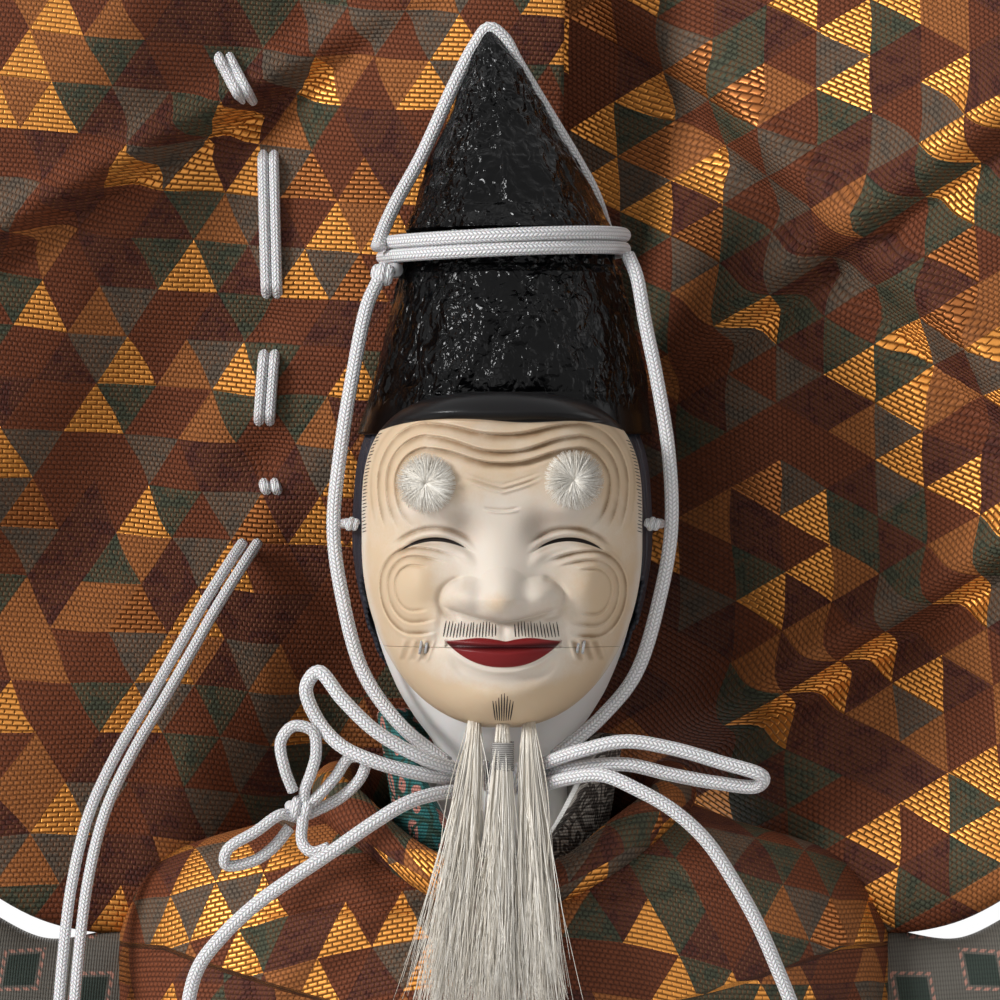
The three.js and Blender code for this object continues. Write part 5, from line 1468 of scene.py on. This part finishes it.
BELT_LEVEL = HIP + 20
ROBE_STATIONS = [
    # level, half width, reach to the front and to the back, depth of the folds
    [HEM, 54, 34, 32, 0.035], [mix(HEM, HIP, 0.53), 50, 31, 30, 0.03], [HIP + 0.6, 44, 28, 28, 0.015],
    [BELT_LEVEL - 5.9, 38, 25, 25, 0], [BELT_LEVEL + 7.5, 38, 25, 25, 0], [ROBE_TOP - 65, 43, 26.4, 25.6, 0.006],
    [ROBE_TOP - 42, 47, 26.6, 25.6, 0], [ROBE_TOP - 23, 48, 25.4, 25, 0], [ROBE_TOP - 11.5, 47, 23.4, 23, 0],
    [ROBE_TOP - 4.2, 41, 20.6, 20.4, 0], [ROBE_TOP, 28, 17, 17.2, 0], [ROBE_TOP - 0.4, 16.6, 16.6, 15.4, 0],
]
FOLD_COUNT = 9


def robe_surface(level, angles):
    """The robe's surface, with its hem folds and soft creases above and below the belt."""
    level = np.broadcast_to(np.asarray(level, float), angles.shape)
    fine = smooth_rows(np.array(ROBE_STATIONS)[:-1], 240)
    width, front, back, depth = (np.interp(level, fine[:, 0], fine[:, i]) for i in range(1, 5))
    wave = 1 + depth * np.cos(FOLD_COUNT * angles + 0.6) + 0.4 * depth * np.cos(4 * angles + 1.3)
    tuck = 0.75 * hump(level - BELT_LEVEL - 14, 9) + 0.55 * hump(level - BELT_LEVEL + 16, 12)
    chest = 0.9 * ease(ROBE_TOP - 75, ROBE_TOP - 50, level) * (1 - ease(ROBE_TOP - 10, ROBE_TOP - 3, level))
    crease = tuck * (1 - np.abs(np.sin(11 * angles + 0.05 * level)))
    crease = crease + chest * (waves(angles * 34, level, 3, 24) - 0.3) * 1.6
    reach = np.where(np.sin(angles) < 0, front, back)
    size = 1 + (crease - 0.35) / 30
    x = width * np.cos(angles) * wave * size
    y = ROBE_AXIS + reach * np.sin(angles) * wave * size
    return np.stack([x, y, level], axis=-1)


def neckband_line(angles):
    """Middle of the rolled neckband, lower in front."""
    forward = np.clip(-np.sin(angles), 0, None)
    reach = mix(19, 21.6, forward ** 1.5)
    level = ROBE_TOP + 3.6 - 11.6 * forward ** 2.2 + 0.35 * np.sin(5 * angles)
    return np.stack([21 * np.cos(angles), ROBE_AXIS + reach * np.sin(angles), level], axis=-1)


PANEL_EDGE = -28.6
PANEL_TOP = ROBE_TOP - 9.6


def panel_height(x, z):
    """How far the overlapping front panel stands out, with its folded edges at the left and the top."""
    side = 0.7 * ease(PANEL_EDGE - 0.7, PANEL_EDGE + 0.5, x) - 0.35 * hump(x - PANEL_EDGE + 0.9, 0.6)
    lid = PANEL_TOP + 0.05 * x
    top = ease(lid + 0.6, lid - 0.5, z)
    groove = 0.45 * hump(z - lid - 0.7, 0.6) * ease(PANEL_EDGE - 1, PANEL_EDGE + 1, x) * ease(34, 28, x)
    return side * top - groove


def robe():
    """The outer robe's body: a wide brocade sheet, closed by its neckband and belted at the waist."""
    across = 336
    angles = around(across)
    band = neckband_line(angles)
    top = np.minimum(ROBE_TOP - 0.3, band[:, 2] - 1.2)
    shares = np.concatenate([np.linspace(0, 0.86, 120), np.linspace(0.866, 1, 44)])
    rows = [robe_surface(mix(HEM + 0.6, top, share), angles) for share in shares]
    for row in rows:
        front = (np.sin(angles) < 0) * ease(BELT_LEVEL + 12, BELT_LEVEL + 22, row[:, 2])
        row[:, 1] -= front * panel_height(row[:, 0], row[:, 2]) * ease(-0.05, -0.4, np.sin(angles))
    last = rows[-1]
    inner = band - [0, 0, 0.8]
    for share in (0.3, 0.65, 1.0):
        rows.append(mix(last, inner, share))
    rows = np.array(rows)
    u, v = robe_cloth(rows, angles)
    piece = cloth_sheet("robe_brocade", rows, u, v, 0.6)
    dress(piece, BROCADE, "doll", "brocade", "robe_body")


def robe_cloth(rows, angles):
    """Places on the flat cloth: round the body below, and straight on over the shoulders above the arms."""
    turn = ROBE_TOP - 24
    girth = arc_lengths(rows)[:, :-1]
    widest = np.median(girth[:, -1])
    u = girth * (0.6 + 0.4 * widest / np.maximum(girth[:, -1:], 1))
    reference = int(np.argmin(np.abs(rows[:, 0, 2] - turn)))
    steps = np.linalg.norm(np.diff(rows, axis=0), axis=2)
    v = np.concatenate([np.zeros((1, len(angles))), np.cumsum(steps, axis=0)]) * 0.35 + 0.65 * rows[:, :, 2]
    ring = rows[reference]
    for part in (np.sin(angles) < 0, np.sin(angles) >= 0):
        order = np.argsort(ring[part, 0])
        xs, ys = ring[part, 0][order], ring[part, 1][order]
        us, vs = u[reference, part][order], v[reference, part][order]
        if part[0]:
            us = np.where(us > widest / 2, us - girth[reference, -1], us)
        for i in range(reference + 1, len(rows)):
            x = rows[i, part, 0]
            u[i, part] = np.interp(x, xs, us)
            rise = np.hypot(rows[i, part, 2] - ring[0, 2], rows[i, part, 1] - np.interp(x, xs, ys))
            v[i, part] = np.interp(x, xs, vs) + rise
    return np.hstack([u, u[:, :1]]), np.hstack([v, v[:, :1]])


def neckband():
    """The robe's neckband: a soft padded roll of brocade with creases along it and a seam at its foot."""
    count, sides = 190, 28
    rows, u, v = [], [], []
    angles = 2 * math.pi * np.arange(count + 1) / count
    for angle, middle in zip(angles, neckband_line(angles)):
        turn = 2 * math.pi * np.arange(sides) / sides
        size = 2.75 + 0.2 * math.sin(7 * angle + 1)
        pinch = 0.3 * hump(np.sin(turn / 2 + 0.9 * math.sin(2 * angle)), 0.25) * abs(math.sin(3.5 * angle))
        out = np.array([math.cos(angle), math.sin(angle), 0])
        ring = middle + np.outer((size - pinch) * np.cos(turn), out)
        ring = ring + np.outer(1.16 * (size - pinch) * np.sin(turn), (0, 0, 1))
        rows.append(ring)
        u.append(np.full(sides + 1, 21 * angle))
        v.append(np.arange(sides + 1) / sides * 2 * math.pi * 2.7)
    item = mesh_object("neckband_roll", np.array(rows).reshape(-1, 3), grid_faces(count + 1, sides),
                       grid_uvs(count + 1, sides, u, v))
    shape = bmesh.new()
    shape.from_mesh(item.data)
    bmesh.ops.remove_doubles(shape, verts=shape.verts, dist=1e-6)
    bmesh.ops.recalc_face_normals(shape, faces=shape.faces)
    shape.to_mesh(item.data)
    shape.free()
    item.data.shade_smooth()
    dress(item, BROCADE_ACROSS, "doll", "brocade", "robe_collar")


COLLAR_FOOT = TORSO_TOP + 0.3
UNDER_COLLAR = {"inside": 9.2, "thickness": 1.3, "side_top": CHIN - 3.6, "front_top": COLLAR_FOOT + 3}
INNER_COLLAR = {"inside": 10.8, "thickness": 1.5, "side_top": CHIN + 1.6, "front_top": COLLAR_FOOT + 3.4}


def collar_band(name, start, end, size, material, slot, node, lower=0.0):
    """A doubled strip of silk that stands round the neck and slopes outwards, lower in front."""
    count, rise_steps = 110, 9
    angles = np.linspace(start, end, count)
    rows = []
    for angle in angles:
        frontness = max(-math.sin(angle), 0) ** 2
        top = mix(size["side_top"] - lower, size["front_top"], float(ease(0.05, 1, frontness)))
        reach = 1.28 if math.sin(angle) < 0 else 1.0
        section = []
        inside, thick = size["inside"] + 0.12, size["thickness"] - 0.24
        up = np.linspace(0, 1, rise_steps)
        profile = [(inside + thick, t) for t in up[:-1]]
        profile += [(inside + thick / 2 + thick / 2 * math.cos(a), 1 - 0.03 + 0.03 * math.sin(a))
                    for a in np.linspace(0, math.pi, 7)]
        profile += [(inside, t) for t in up[:-1][::-1]]
        for radius, t in profile:
            level = mix(COLLAR_FOOT, top, t)
            out = radius + 0.16 * (level - COLLAR_FOOT)
            section.append((out * math.cos(angle), ROBE_AXIS + out * reach * math.sin(angle), level))
        rows.append(section)
    rows = np.array(rows)
    sides = rows.shape[1]
    across = arc_lengths(rows)
    along = np.concatenate([[0], np.cumsum(np.linalg.norm(np.diff(rows[:, 0], axis=0), axis=1))])
    u = np.repeat(along[:, None], sides + 1, axis=1)
    pairs = grid_uvs(count, sides, u, across) + [(0.0, 0.0)] * (2 * sides)
    item = mesh_object(name, rows.reshape(-1, 3), capped_faces(count, sides), pairs)
    turn_outward(item)
    dress(item, material, "doll", slot, node)


def collars():
    split = 0.03
    collar_band("white_collar", 0.001, 2 * math.pi - 0.001, UNDER_COLLAR, COTTON, "white_cotton", "under_collar")
    collar_band("teal_collar", math.pi / 2 + split, math.pi * 1.5 - split, INNER_COLLAR, TEAL_SILK, "teal_silk",
                "inner_collar_left")
    collar_band("grey_collar", math.pi * 1.5 + split, math.pi * 2.5 - split, INNER_COLLAR, GREY_SILK, "grey_silk",
                "inner_collar_right", 3)


def belt():
    """A folded brocade belt that draws the robe in at the waist."""
    across = 200
    angles = around(across)
    base = robe_surface(BELT_LEVEL - 5.9, angles)
    rows = []
    for level, out in ((-4.9, 0.45), (-4.7, 1.2), (-2.5, 1.75), (0, 1.85), (2.5, 1.75), (4.7, 1.2), (4.9, 0.45)):
        ring = base.copy()
        size = 1 + (out - 0.1) / np.hypot(base[:, 0], base[:, 1] - TRUNK_AXIS)
        ring[:, 0] *= size
        ring[:, 1] = TRUNK_AXIS + (ring[:, 1] - TRUNK_AXIS) * size
        ring[:, 2] = BELT_LEVEL + level
        rows.append(ring)
    rows = np.array(rows)
    u = arc_lengths(rows)
    v = np.repeat(np.cumsum([0, 1.1, 2.3, 2.5, 2.5, 2.3, 1.1])[:, None], across + 1, axis=1)
    piece = cloth_sheet("belt_brocade", rows, u, v, 0.5)
    dress(piece, BROCADE_ACROSS, "doll", "brocade", "waist_belt")


# Half way from its end: distance from the middle, low and high rise above the trunk's top, half thickness
INNER_SLEEVE_STATIONS = [
    [37, -24, -7, 5], [46, -29, -5.6, 6.4], [56, -28, -6.6, 6.4], [65, -22, -2, 5], [70, -16, -1.4, 2.4],
]


def inner_sleeves():
    """The inner robe's sleeves: soft folded bags of grey and green cloth under the arms."""
    across = 110
    angles = around(across, math.pi / across)
    for name, side in SIDES:
        rows, u, v = [], [], []
        for x, low, high, half in smooth_rows(INNER_SLEEVE_STATIONS, 60):
            z = TORSO_TOP + mix(low, high - 0.9, 0.5 + 0.5 * np.cos(angles))
            flat = np.sign(np.sin(angles)) * np.abs(np.sin(angles)) ** 0.7
            fold = 1.1 * waves(np.full_like(z, x), z, 51, 11) - 0.4
            front = np.clip(-np.sin(angles) * 2, 0, 1)
            y = sleeve_depth(x, z) + (half - 0.4) * flat - fold * front
            rows.append(np.stack([np.full_like(z, side * x), y, z], axis=1))
            u.append(np.append(np.full_like(z, x), x))
            v.append(np.append(z, z[0]))
        piece = cloth_sheet(f"{name}_inner_sleeve_cloth", rows, u, v, 0.5, 0.7)
        dress(piece, GREEN_BROCADE, "doll", "green_brocade", f"{name}_inner_sleeve")


HAKAMA_BOTTOM = FLOOR + 15.5
HAKAMA_STATIONS = [
    [0, 12.5, 13, 0.03], [0.05, 18, 19, 0.05], [0.2, 19.4, 21.5, 0.06], [0.55, 19, 20.5, 0.05],
    [0.8, 17.8, 17, 0.03], [1, 16, 14, 0],
]


def hakama():
    """Pleated trousers, gathered in over the feet."""
    across, pleats = 196, 14
    angles = around(across)
    for name, side in SIDES:
        rows = []
        for share, width, reach, depth in smooth_rows(HAKAMA_STATIONS, 110):
            pleat = 1 - np.abs(np.sin(pleats / 2 * angles + 0.3 * math.sin(share * 5))) ** 0.8
            size = 0.99 - depth * 1.5 * pleat + 0.008 * np.sin(3 * angles + 9 * share)
            x = side * LEG_APART + width * 0.94 * np.cos(angles) * size
            y = TRUNK_AXIS + reach * np.sin(angles) * size
            rows.append(np.stack([x, y, np.full_like(x, mix(HAKAMA_BOTTOM + 0.3, HIP - 0.6, share))], axis=1))
        foot_ring = rows[0].copy()
        foot_ring[:, 0] = mix(foot_ring[:, 0], side * LEG_APART, 0.35)
        foot_ring[:, 1] = mix(foot_ring[:, 1], TRUNK_AXIS, 0.35)
        rows = np.array([foot_ring, *rows])
        u = arc_lengths(rows)
        v = np.concatenate([[0], np.cumsum(np.linalg.norm(np.diff(rows[:, 0], axis=0), axis=1))])
        piece = cloth_sheet(f"{name}_hakama_cloth", rows, u, np.repeat(v[:, None], across + 1, axis=1), 0.5)
        dress(piece, GREEN_BROCADE, "doll", "green_brocade", f"{name}_hakama")


# Head: height above the mask's chin, half width, reach to the front and to the back, shift
HEAD_STATIONS = [
    [-18.7, 8, 8, 8, 2], [-10, 8, 8.2, 8.2, 2], [-6, 8, 9, 9, 2], [-2.6, 8.3, 12.1, 11.5, 0], [1, 10.8, 15.4, 14.3, 0],
    [5, 13.1, 17.9, 16.6, 0], [11, 15.3, 19.1, 19.5, 0], [20, 17.2, 19.5, 21, 0], [28, 17.2, 19.3, 21.2, 0],
    [34, 16.3, 18.1, 20.2, 0], [40, 13.4, 14.6, 16.8, 0], [44, 9.6, 10.1, 12, 0], [47, 4.8, 5.1, 5.9, 0],
    [48, 0.8, 0.8, 0.8, 0],
]


def head_ring(rise, angles, grow=0.0):
    fine = smooth_rows(HEAD_STATIONS, 260)
    width, front, back, shift = (np.interp(rise, fine[:, 0], fine[:, i]) for i in range(1, 5))
    reach = np.where(np.sin(angles) < 0, front, back)
    x = (width + grow) * np.cos(angles)
    return x, HEAD_AXIS + shift + (reach + grow) * np.sin(angles)


def head():
    """A calm doll's face of plain proportions under the mask: closed lips, a small nose and painted eyes."""
    across = 180
    angles = around(across)
    rises = np.concatenate([np.linspace(-18.6, -2, 26), np.linspace(-1.6, 47.6, 170)])
    rows, lines, mouth = [], [], []
    for rise in rises:
        x, y = head_ring(rise, angles)
        face = y < HEAD_AXIS - 6
        stands = float(ease(27, 15.6, rise) * ease(13.4, 15.2, rise))
        nose = 2.0 * bell(x, 0, mix(1.0, 2.0, float(ease(24, 15, rise))), 1) * stands
        sockets = -0.7 * (bell(x - 6.2, rise - 22.5, 3.2, 2.4) + bell(x + 6.2, rise - 22.5, 3.2, 2.4))
        balls = 0.45 * (bell(x - 6.2, rise - 21.8, 2.6, 1.5) + bell(x + 6.2, rise - 21.8, 2.6, 1.5))
        lips = 0.75 * bell(x, rise - 9.6, 2.6, 1.1) - 0.3 * bell(x, rise - 9.7, 2.4, 0.25)
        lips = lips + 0.5 * bell(x, rise - 3.8, 3, 2)
        y = y - face * (nose + sockets + balls + lips)
        rows.append(np.stack([x, y, np.full(across, CHIN + rise)], axis=1))
        lid = 22.3 + 0.5 * (1 - ((np.abs(x) - 6.2) / 3.1) ** 2)
        eye = (np.abs(rise - lid) < 0.22) & (np.abs(np.abs(x) - 6.2) < 3.1)
        arch = rise - 28.4 - 0.6 * (1 - ((np.abs(x) - 6.6) / 3.6) ** 2)
        brow = (np.abs(arch) < 0.3) & (np.abs(np.abs(x) - 6.6) < 3.4)
        lines.append((eye | brow) & face)
        mouth.append(face & (np.hypot(x / 2.9, (rise - 9.6) / 0.95) < 1))
    piece = mesh_object("painted_head", np.vstack(rows), capped_faces(len(rises), across))
    paint_points(piece, "lines", np.concatenate(lines))
    paint_points(piece, "mouth", np.concatenate(mouth))
    turn_outward(piece)
    dress(piece, HEAD_PAINT, "doll", "shell_white", "head")


def hair():
    """A close cap of combed hair over the crown, temples and nape."""
    across = 200
    angles = around(across)
    rises = np.linspace(-3.4, 47.9, 150)
    rows = []
    for rise in rises:
        x, y = head_ring(rise, angles, 0.3)
        comb = 0.55 + 0.16 * np.cos(34 * angles + 0.35 * math.sin(rise * 0.2)) + 0.08 * np.cos(61 * angles)
        size = 1 + comb / np.maximum(np.hypot(x, y - HEAD_AXIS), 1)
        x, y = x * size, HEAD_AXIS + (y - HEAD_AXIS) * size
        rows.append(np.stack([x, y, np.full(across, CHIN + rise)], axis=1))
    rows = np.array(rows)
    points = rows.reshape(-1, 3)
    slope = math.tan(0.84)

    def covered(p):
        above = (p[2] - CHIN - 12) > -(p[1] - HEAD_AXIS) * slope * 0.999
        return above and p[1] > HEAD_AXIS - 10
    keep = np.array([covered(p) for p in points])
    faces = [face for face in grid_faces(len(rises), across) if all(keep[i] for i in face)]
    piece = mesh_object("combed_hair", points, faces)
    shape = bmesh.new()
    shape.from_mesh(piece.data)
    loose = [vertex for vertex in shape.verts if not vertex.link_faces]
    bmesh.ops.delete(shape, geom=loose, context="VERTS")
    bmesh.ops.recalc_face_normals(shape, faces=shape.faces)
    shape.to_mesh(piece.data)
    shape.free()
    walled(piece, 0.4, -1)
    dress(piece, HAIR, "doll", "hair_black", "hair")


HAND_WAY = np.array([-14, 4, 20]) / math.sqrt(14 ** 2 + 4 ** 2 + 20 ** 2)
HAND_SECTIONS = [[0, 3.4, 3], [0.2, 4.4, 2.9], [0.45, 5, 2.6], [0.6, 4.8, 2.2], [0.85, 3.8, 1.8], [1, 2, 1]]


def hands():
    """White doll's hands, the fingers held together and parted by fine grooves."""
    across = 72
    angles = around(across, 0)
    for name, side in SIDES:
        way = HAND_WAY * [side, 1, 1]
        start = np.array([side * 62, sleeve_depth(62, TORSO_TOP + 90), TORSO_TOP + 90])
        flat = np.cross(way, [0, 1, 0])
        flat /= np.linalg.norm(flat)
        deep = np.cross(flat, way)
        rows = []
        for share, width, depth in smooth_rows(HAND_SECTIONS, 90):
            spread = width * np.cos(angles)
            fingers = float(ease(0.4, 0.55, share))
            groove = 0.35 * fingers * sum(bell(spread, mark * width * 0.52, 0.22, 1) for mark in (-1, 0, 1))
            thick = (depth - groove) * np.sin(angles)
            rows.append(start + way * share * 21.6 + np.outer(spread, flat) + np.outer(thick, deep))
        piece = mesh_object(f"{name}_white_hand", np.vstack(rows), capped_faces(len(rows), across))
        turn_outward(piece)
        piece.data.shade_smooth()
        dress(piece, SHELL_WHITE, "doll", "shell_white", f"{name}_hand")


def feet():
    """White split-toed socks, shaped from a rounded block."""
    for name, side in SIDES:
        clear_selection()
        bpy.ops.mesh.primitive_cube_add(size=2)
        piece = bpy.context.object
        piece.name = piece.data.name = f"{name}_tabi"
        split = piece.modifiers.new("rounds", "SUBSURF")
        split.levels = split.render_levels = 5
        split.subdivision_type = "SIMPLE"
        apply_modifiers(piece)
        points = np.empty(len(piece.data.vertices) * 3, np.float32)
        piece.data.vertices.foreach_get("co", points)
        points = points.reshape(-1, 3)
        length = -points[:, 1]
        ball = points / np.linalg.norm(points, axis=1)[:, None]
        shape = mix(points, ball * 1.3, 0.62)
        width = mix(6.4, 8.4, ease(-0.6, 0.6, length))
        height = mix(6.4, 4.2, ease(-0.2, 1, length))
        x = shape[:, 0] * width
        toes = 0.9 * bell(x, side * -3, 0.5, 1) * ease(0.45, 0.9, length)
        y = -4 + shape[:, 1] * 22.8
        z = FLOOR + height + shape[:, 2] * height - toes * ease(0, 1, shape[:, 2])
        y += 2.2 * bell(x, side * -3, 0.5, 1) * ease(0.7, 1, length)
        spots = np.stack([side * LEG_APART + x, y, np.maximum(z, FLOOR + 0.05)], axis=1) * MM
        piece.data.vertices.foreach_set("co", spots.astype(np.float32).ravel())
        piece.data.update()
        piece.data.shade_smooth()
        dress(piece, COTTON, "doll", "white_cotton", f"{name}_foot")


# Sleeve stitches: x and rise above the chin where each comes out and goes in
STITCHES = [
    (-35.4, 83.8, -32.2, 77.8), (-29.5, 71.4, -28.9, 52.8), (-29.2, 46.2, -29.9, 36.8), (-29.5, 30, -28.7, 28),
]


def sleeve_stitches():
    """Pairs of grey-white lacing cord that come out of the sleeve's front and go back in."""
    front = surface_finder("left_sleeve_brocade")
    for number, (x1, rise1, x2, rise2) in enumerate(STITCHES, 1):
        strands = []
        for side in (-1, 1):
            route = []
            length = math.hypot(x2 - x1, rise2 - rise1)
            for share in np.linspace(0, 1, 25):
                x = mix(x1, x2, share) + side * 0.68
                z = CHIN + mix(rise1, rise2, share)
                dip = min(share, 1 - share) * length
                route.append((x, front(x, z) + 1.5 - 2.1 * float(ease(-0.6, 1.7, dip)), z))
            strands.append(solid_tube(f"stitch_{number}", smooth_line(route, 90), LACE / 2, 20))
        piece = join_pieces(f"sleeve_stitch_{number}", strands)
        dress(piece, BRAID, "doll", "silk_cord", f"sleeve_lacing_{number}")


def surface_finder(name):
    """A function that gives the y of a piece's front at x and z, in mm."""
    tree = BVHTree.FromObject(bpy.data.objects[name], bpy.context.evaluated_depsgraph_get())

    def front(x, z):
        spot, _, _, _ = tree.ray_cast(Vector((x * MM, -0.2, z * MM)), Vector((0, 1, 0)))
        return spot.y / MM if spot else 0.0
    return front


# Finishes of the frame's own pieces that stay in view
FRAME_FINISHES = {
    "stand_plinth": STAND_LACQUER, "stand_board": STAND_LACQUER, "support_rod": STEEL, "torso_core": STRAW,
    "neck_peg": BARE_WOOD, "left_arm_core": STRAW, "right_arm_core": STRAW, "left_leg_core": BARE_WOOD,
    "right_leg_core": BARE_WOOD,
}


def frame_finishes():
    for name, material in FRAME_FINISHES.items():
        item = nodes[name]
        if not item.material_slots:
            item.data.materials.append(material)
        for place in item.material_slots:
            place.material = material


def paper_finish(name, colour):
    return Finish(name, Base_Color=(*colour, 1), Roughness=0.9).material


def lamp(name, place, aim, size, power):
    light = bpy.data.lights.new(name, "AREA")
    light.energy, light.size = power, size
    item = bpy.data.objects.new(name, light)
    bpy.context.collection.objects.link(item)
    item.location = place
    item.rotation_euler = (Vector(aim) - Vector(place)).to_track_quat("-Z", "Y").to_euler()


STAGE_HALF = 1500


def studio():
    """A pale floor, an even pale world and soft lamps, the main one high at the left."""
    bpy.context.scene.view_settings.view_transform = "Standard"
    corners = [(x * STAGE_HALF, y * STAGE_HALF, -0.2) for x, y in ((-1, -1), (1, -1), (1, 1), (-1, 1))]
    floor = mesh_object("studio_floor", corners, [(0, 1, 2, 3)])
    floor.data.materials.append(paper_finish("studio_paper", (0.78, 0.77, 0.76)))
    world = bpy.data.worlds.new("studio_world")
    bpy.context.scene.world = world
    world.use_nodes = True
    links, tree = world.node_tree.links, world.node_tree.nodes
    tree.clear()
    rays = tree.new("ShaderNodeLightPath")
    seen = tree.new("ShaderNodeMath")
    seen.operation = "ADD"
    links.new(rays.outputs["Is Camera Ray"], seen.inputs[0])
    links.new(rays.outputs["Is Glossy Ray"], seen.inputs[1])
    both = tree.new("ShaderNodeMath")
    both.operation, both.use_clamp = "ADD", True
    links.new(seen.outputs[0], both.inputs[0])
    links.new(rays.outputs["Is Transmission Ray"], both.inputs[1])
    soft = tree.new("ShaderNodeBackground")
    soft.inputs["Color"].default_value = (1, 1, 1, 1)
    soft.inputs["Strength"].default_value = 0.3
    pale = tree.new("ShaderNodeBackground")
    pale.inputs["Color"].default_value = (1, 1, 1, 1)
    pale.inputs["Strength"].default_value = 1.0
    choice = tree.new("ShaderNodeMixShader")
    links.new(both.outputs[0], choice.inputs[0])
    links.new(soft.outputs[0], choice.inputs[1])
    links.new(pale.outputs[0], choice.inputs[2])
    out = tree.new("ShaderNodeOutputWorld")
    links.new(choice.outputs[0], out.inputs["Surface"])
    middle = (0, 0, 0.33)
    lamp("main_lamp", (-0.8, -0.55, 0.8), middle, 0.25, 10.3)
    lamp("soft_lamp", (-0.4, -1.2, 0.3), middle, 0.9, 2.5)
    lamp("side_lamp", (0.95, 0.1, 0.5), middle, 0.6, 1.2)
    lamp("rim_lamp", (-0.3, 0.9, 0.9), middle, 0.5, 6)


def main():
    carved_mask()
    painted_strokes()
    brow_pompoms()
    beard()
    beard_thread()
    small_knots()
    mask_tie()
    hat_winding()
    hat()
    sleeves()
    sleeve_stitches()
    robe()
    neckband()
    collars()
    belt()
    inner_sleeves()
    hakama()
    head()
    hair()
    hands()
    feet()
    frame_finishes()
    studio()


main()
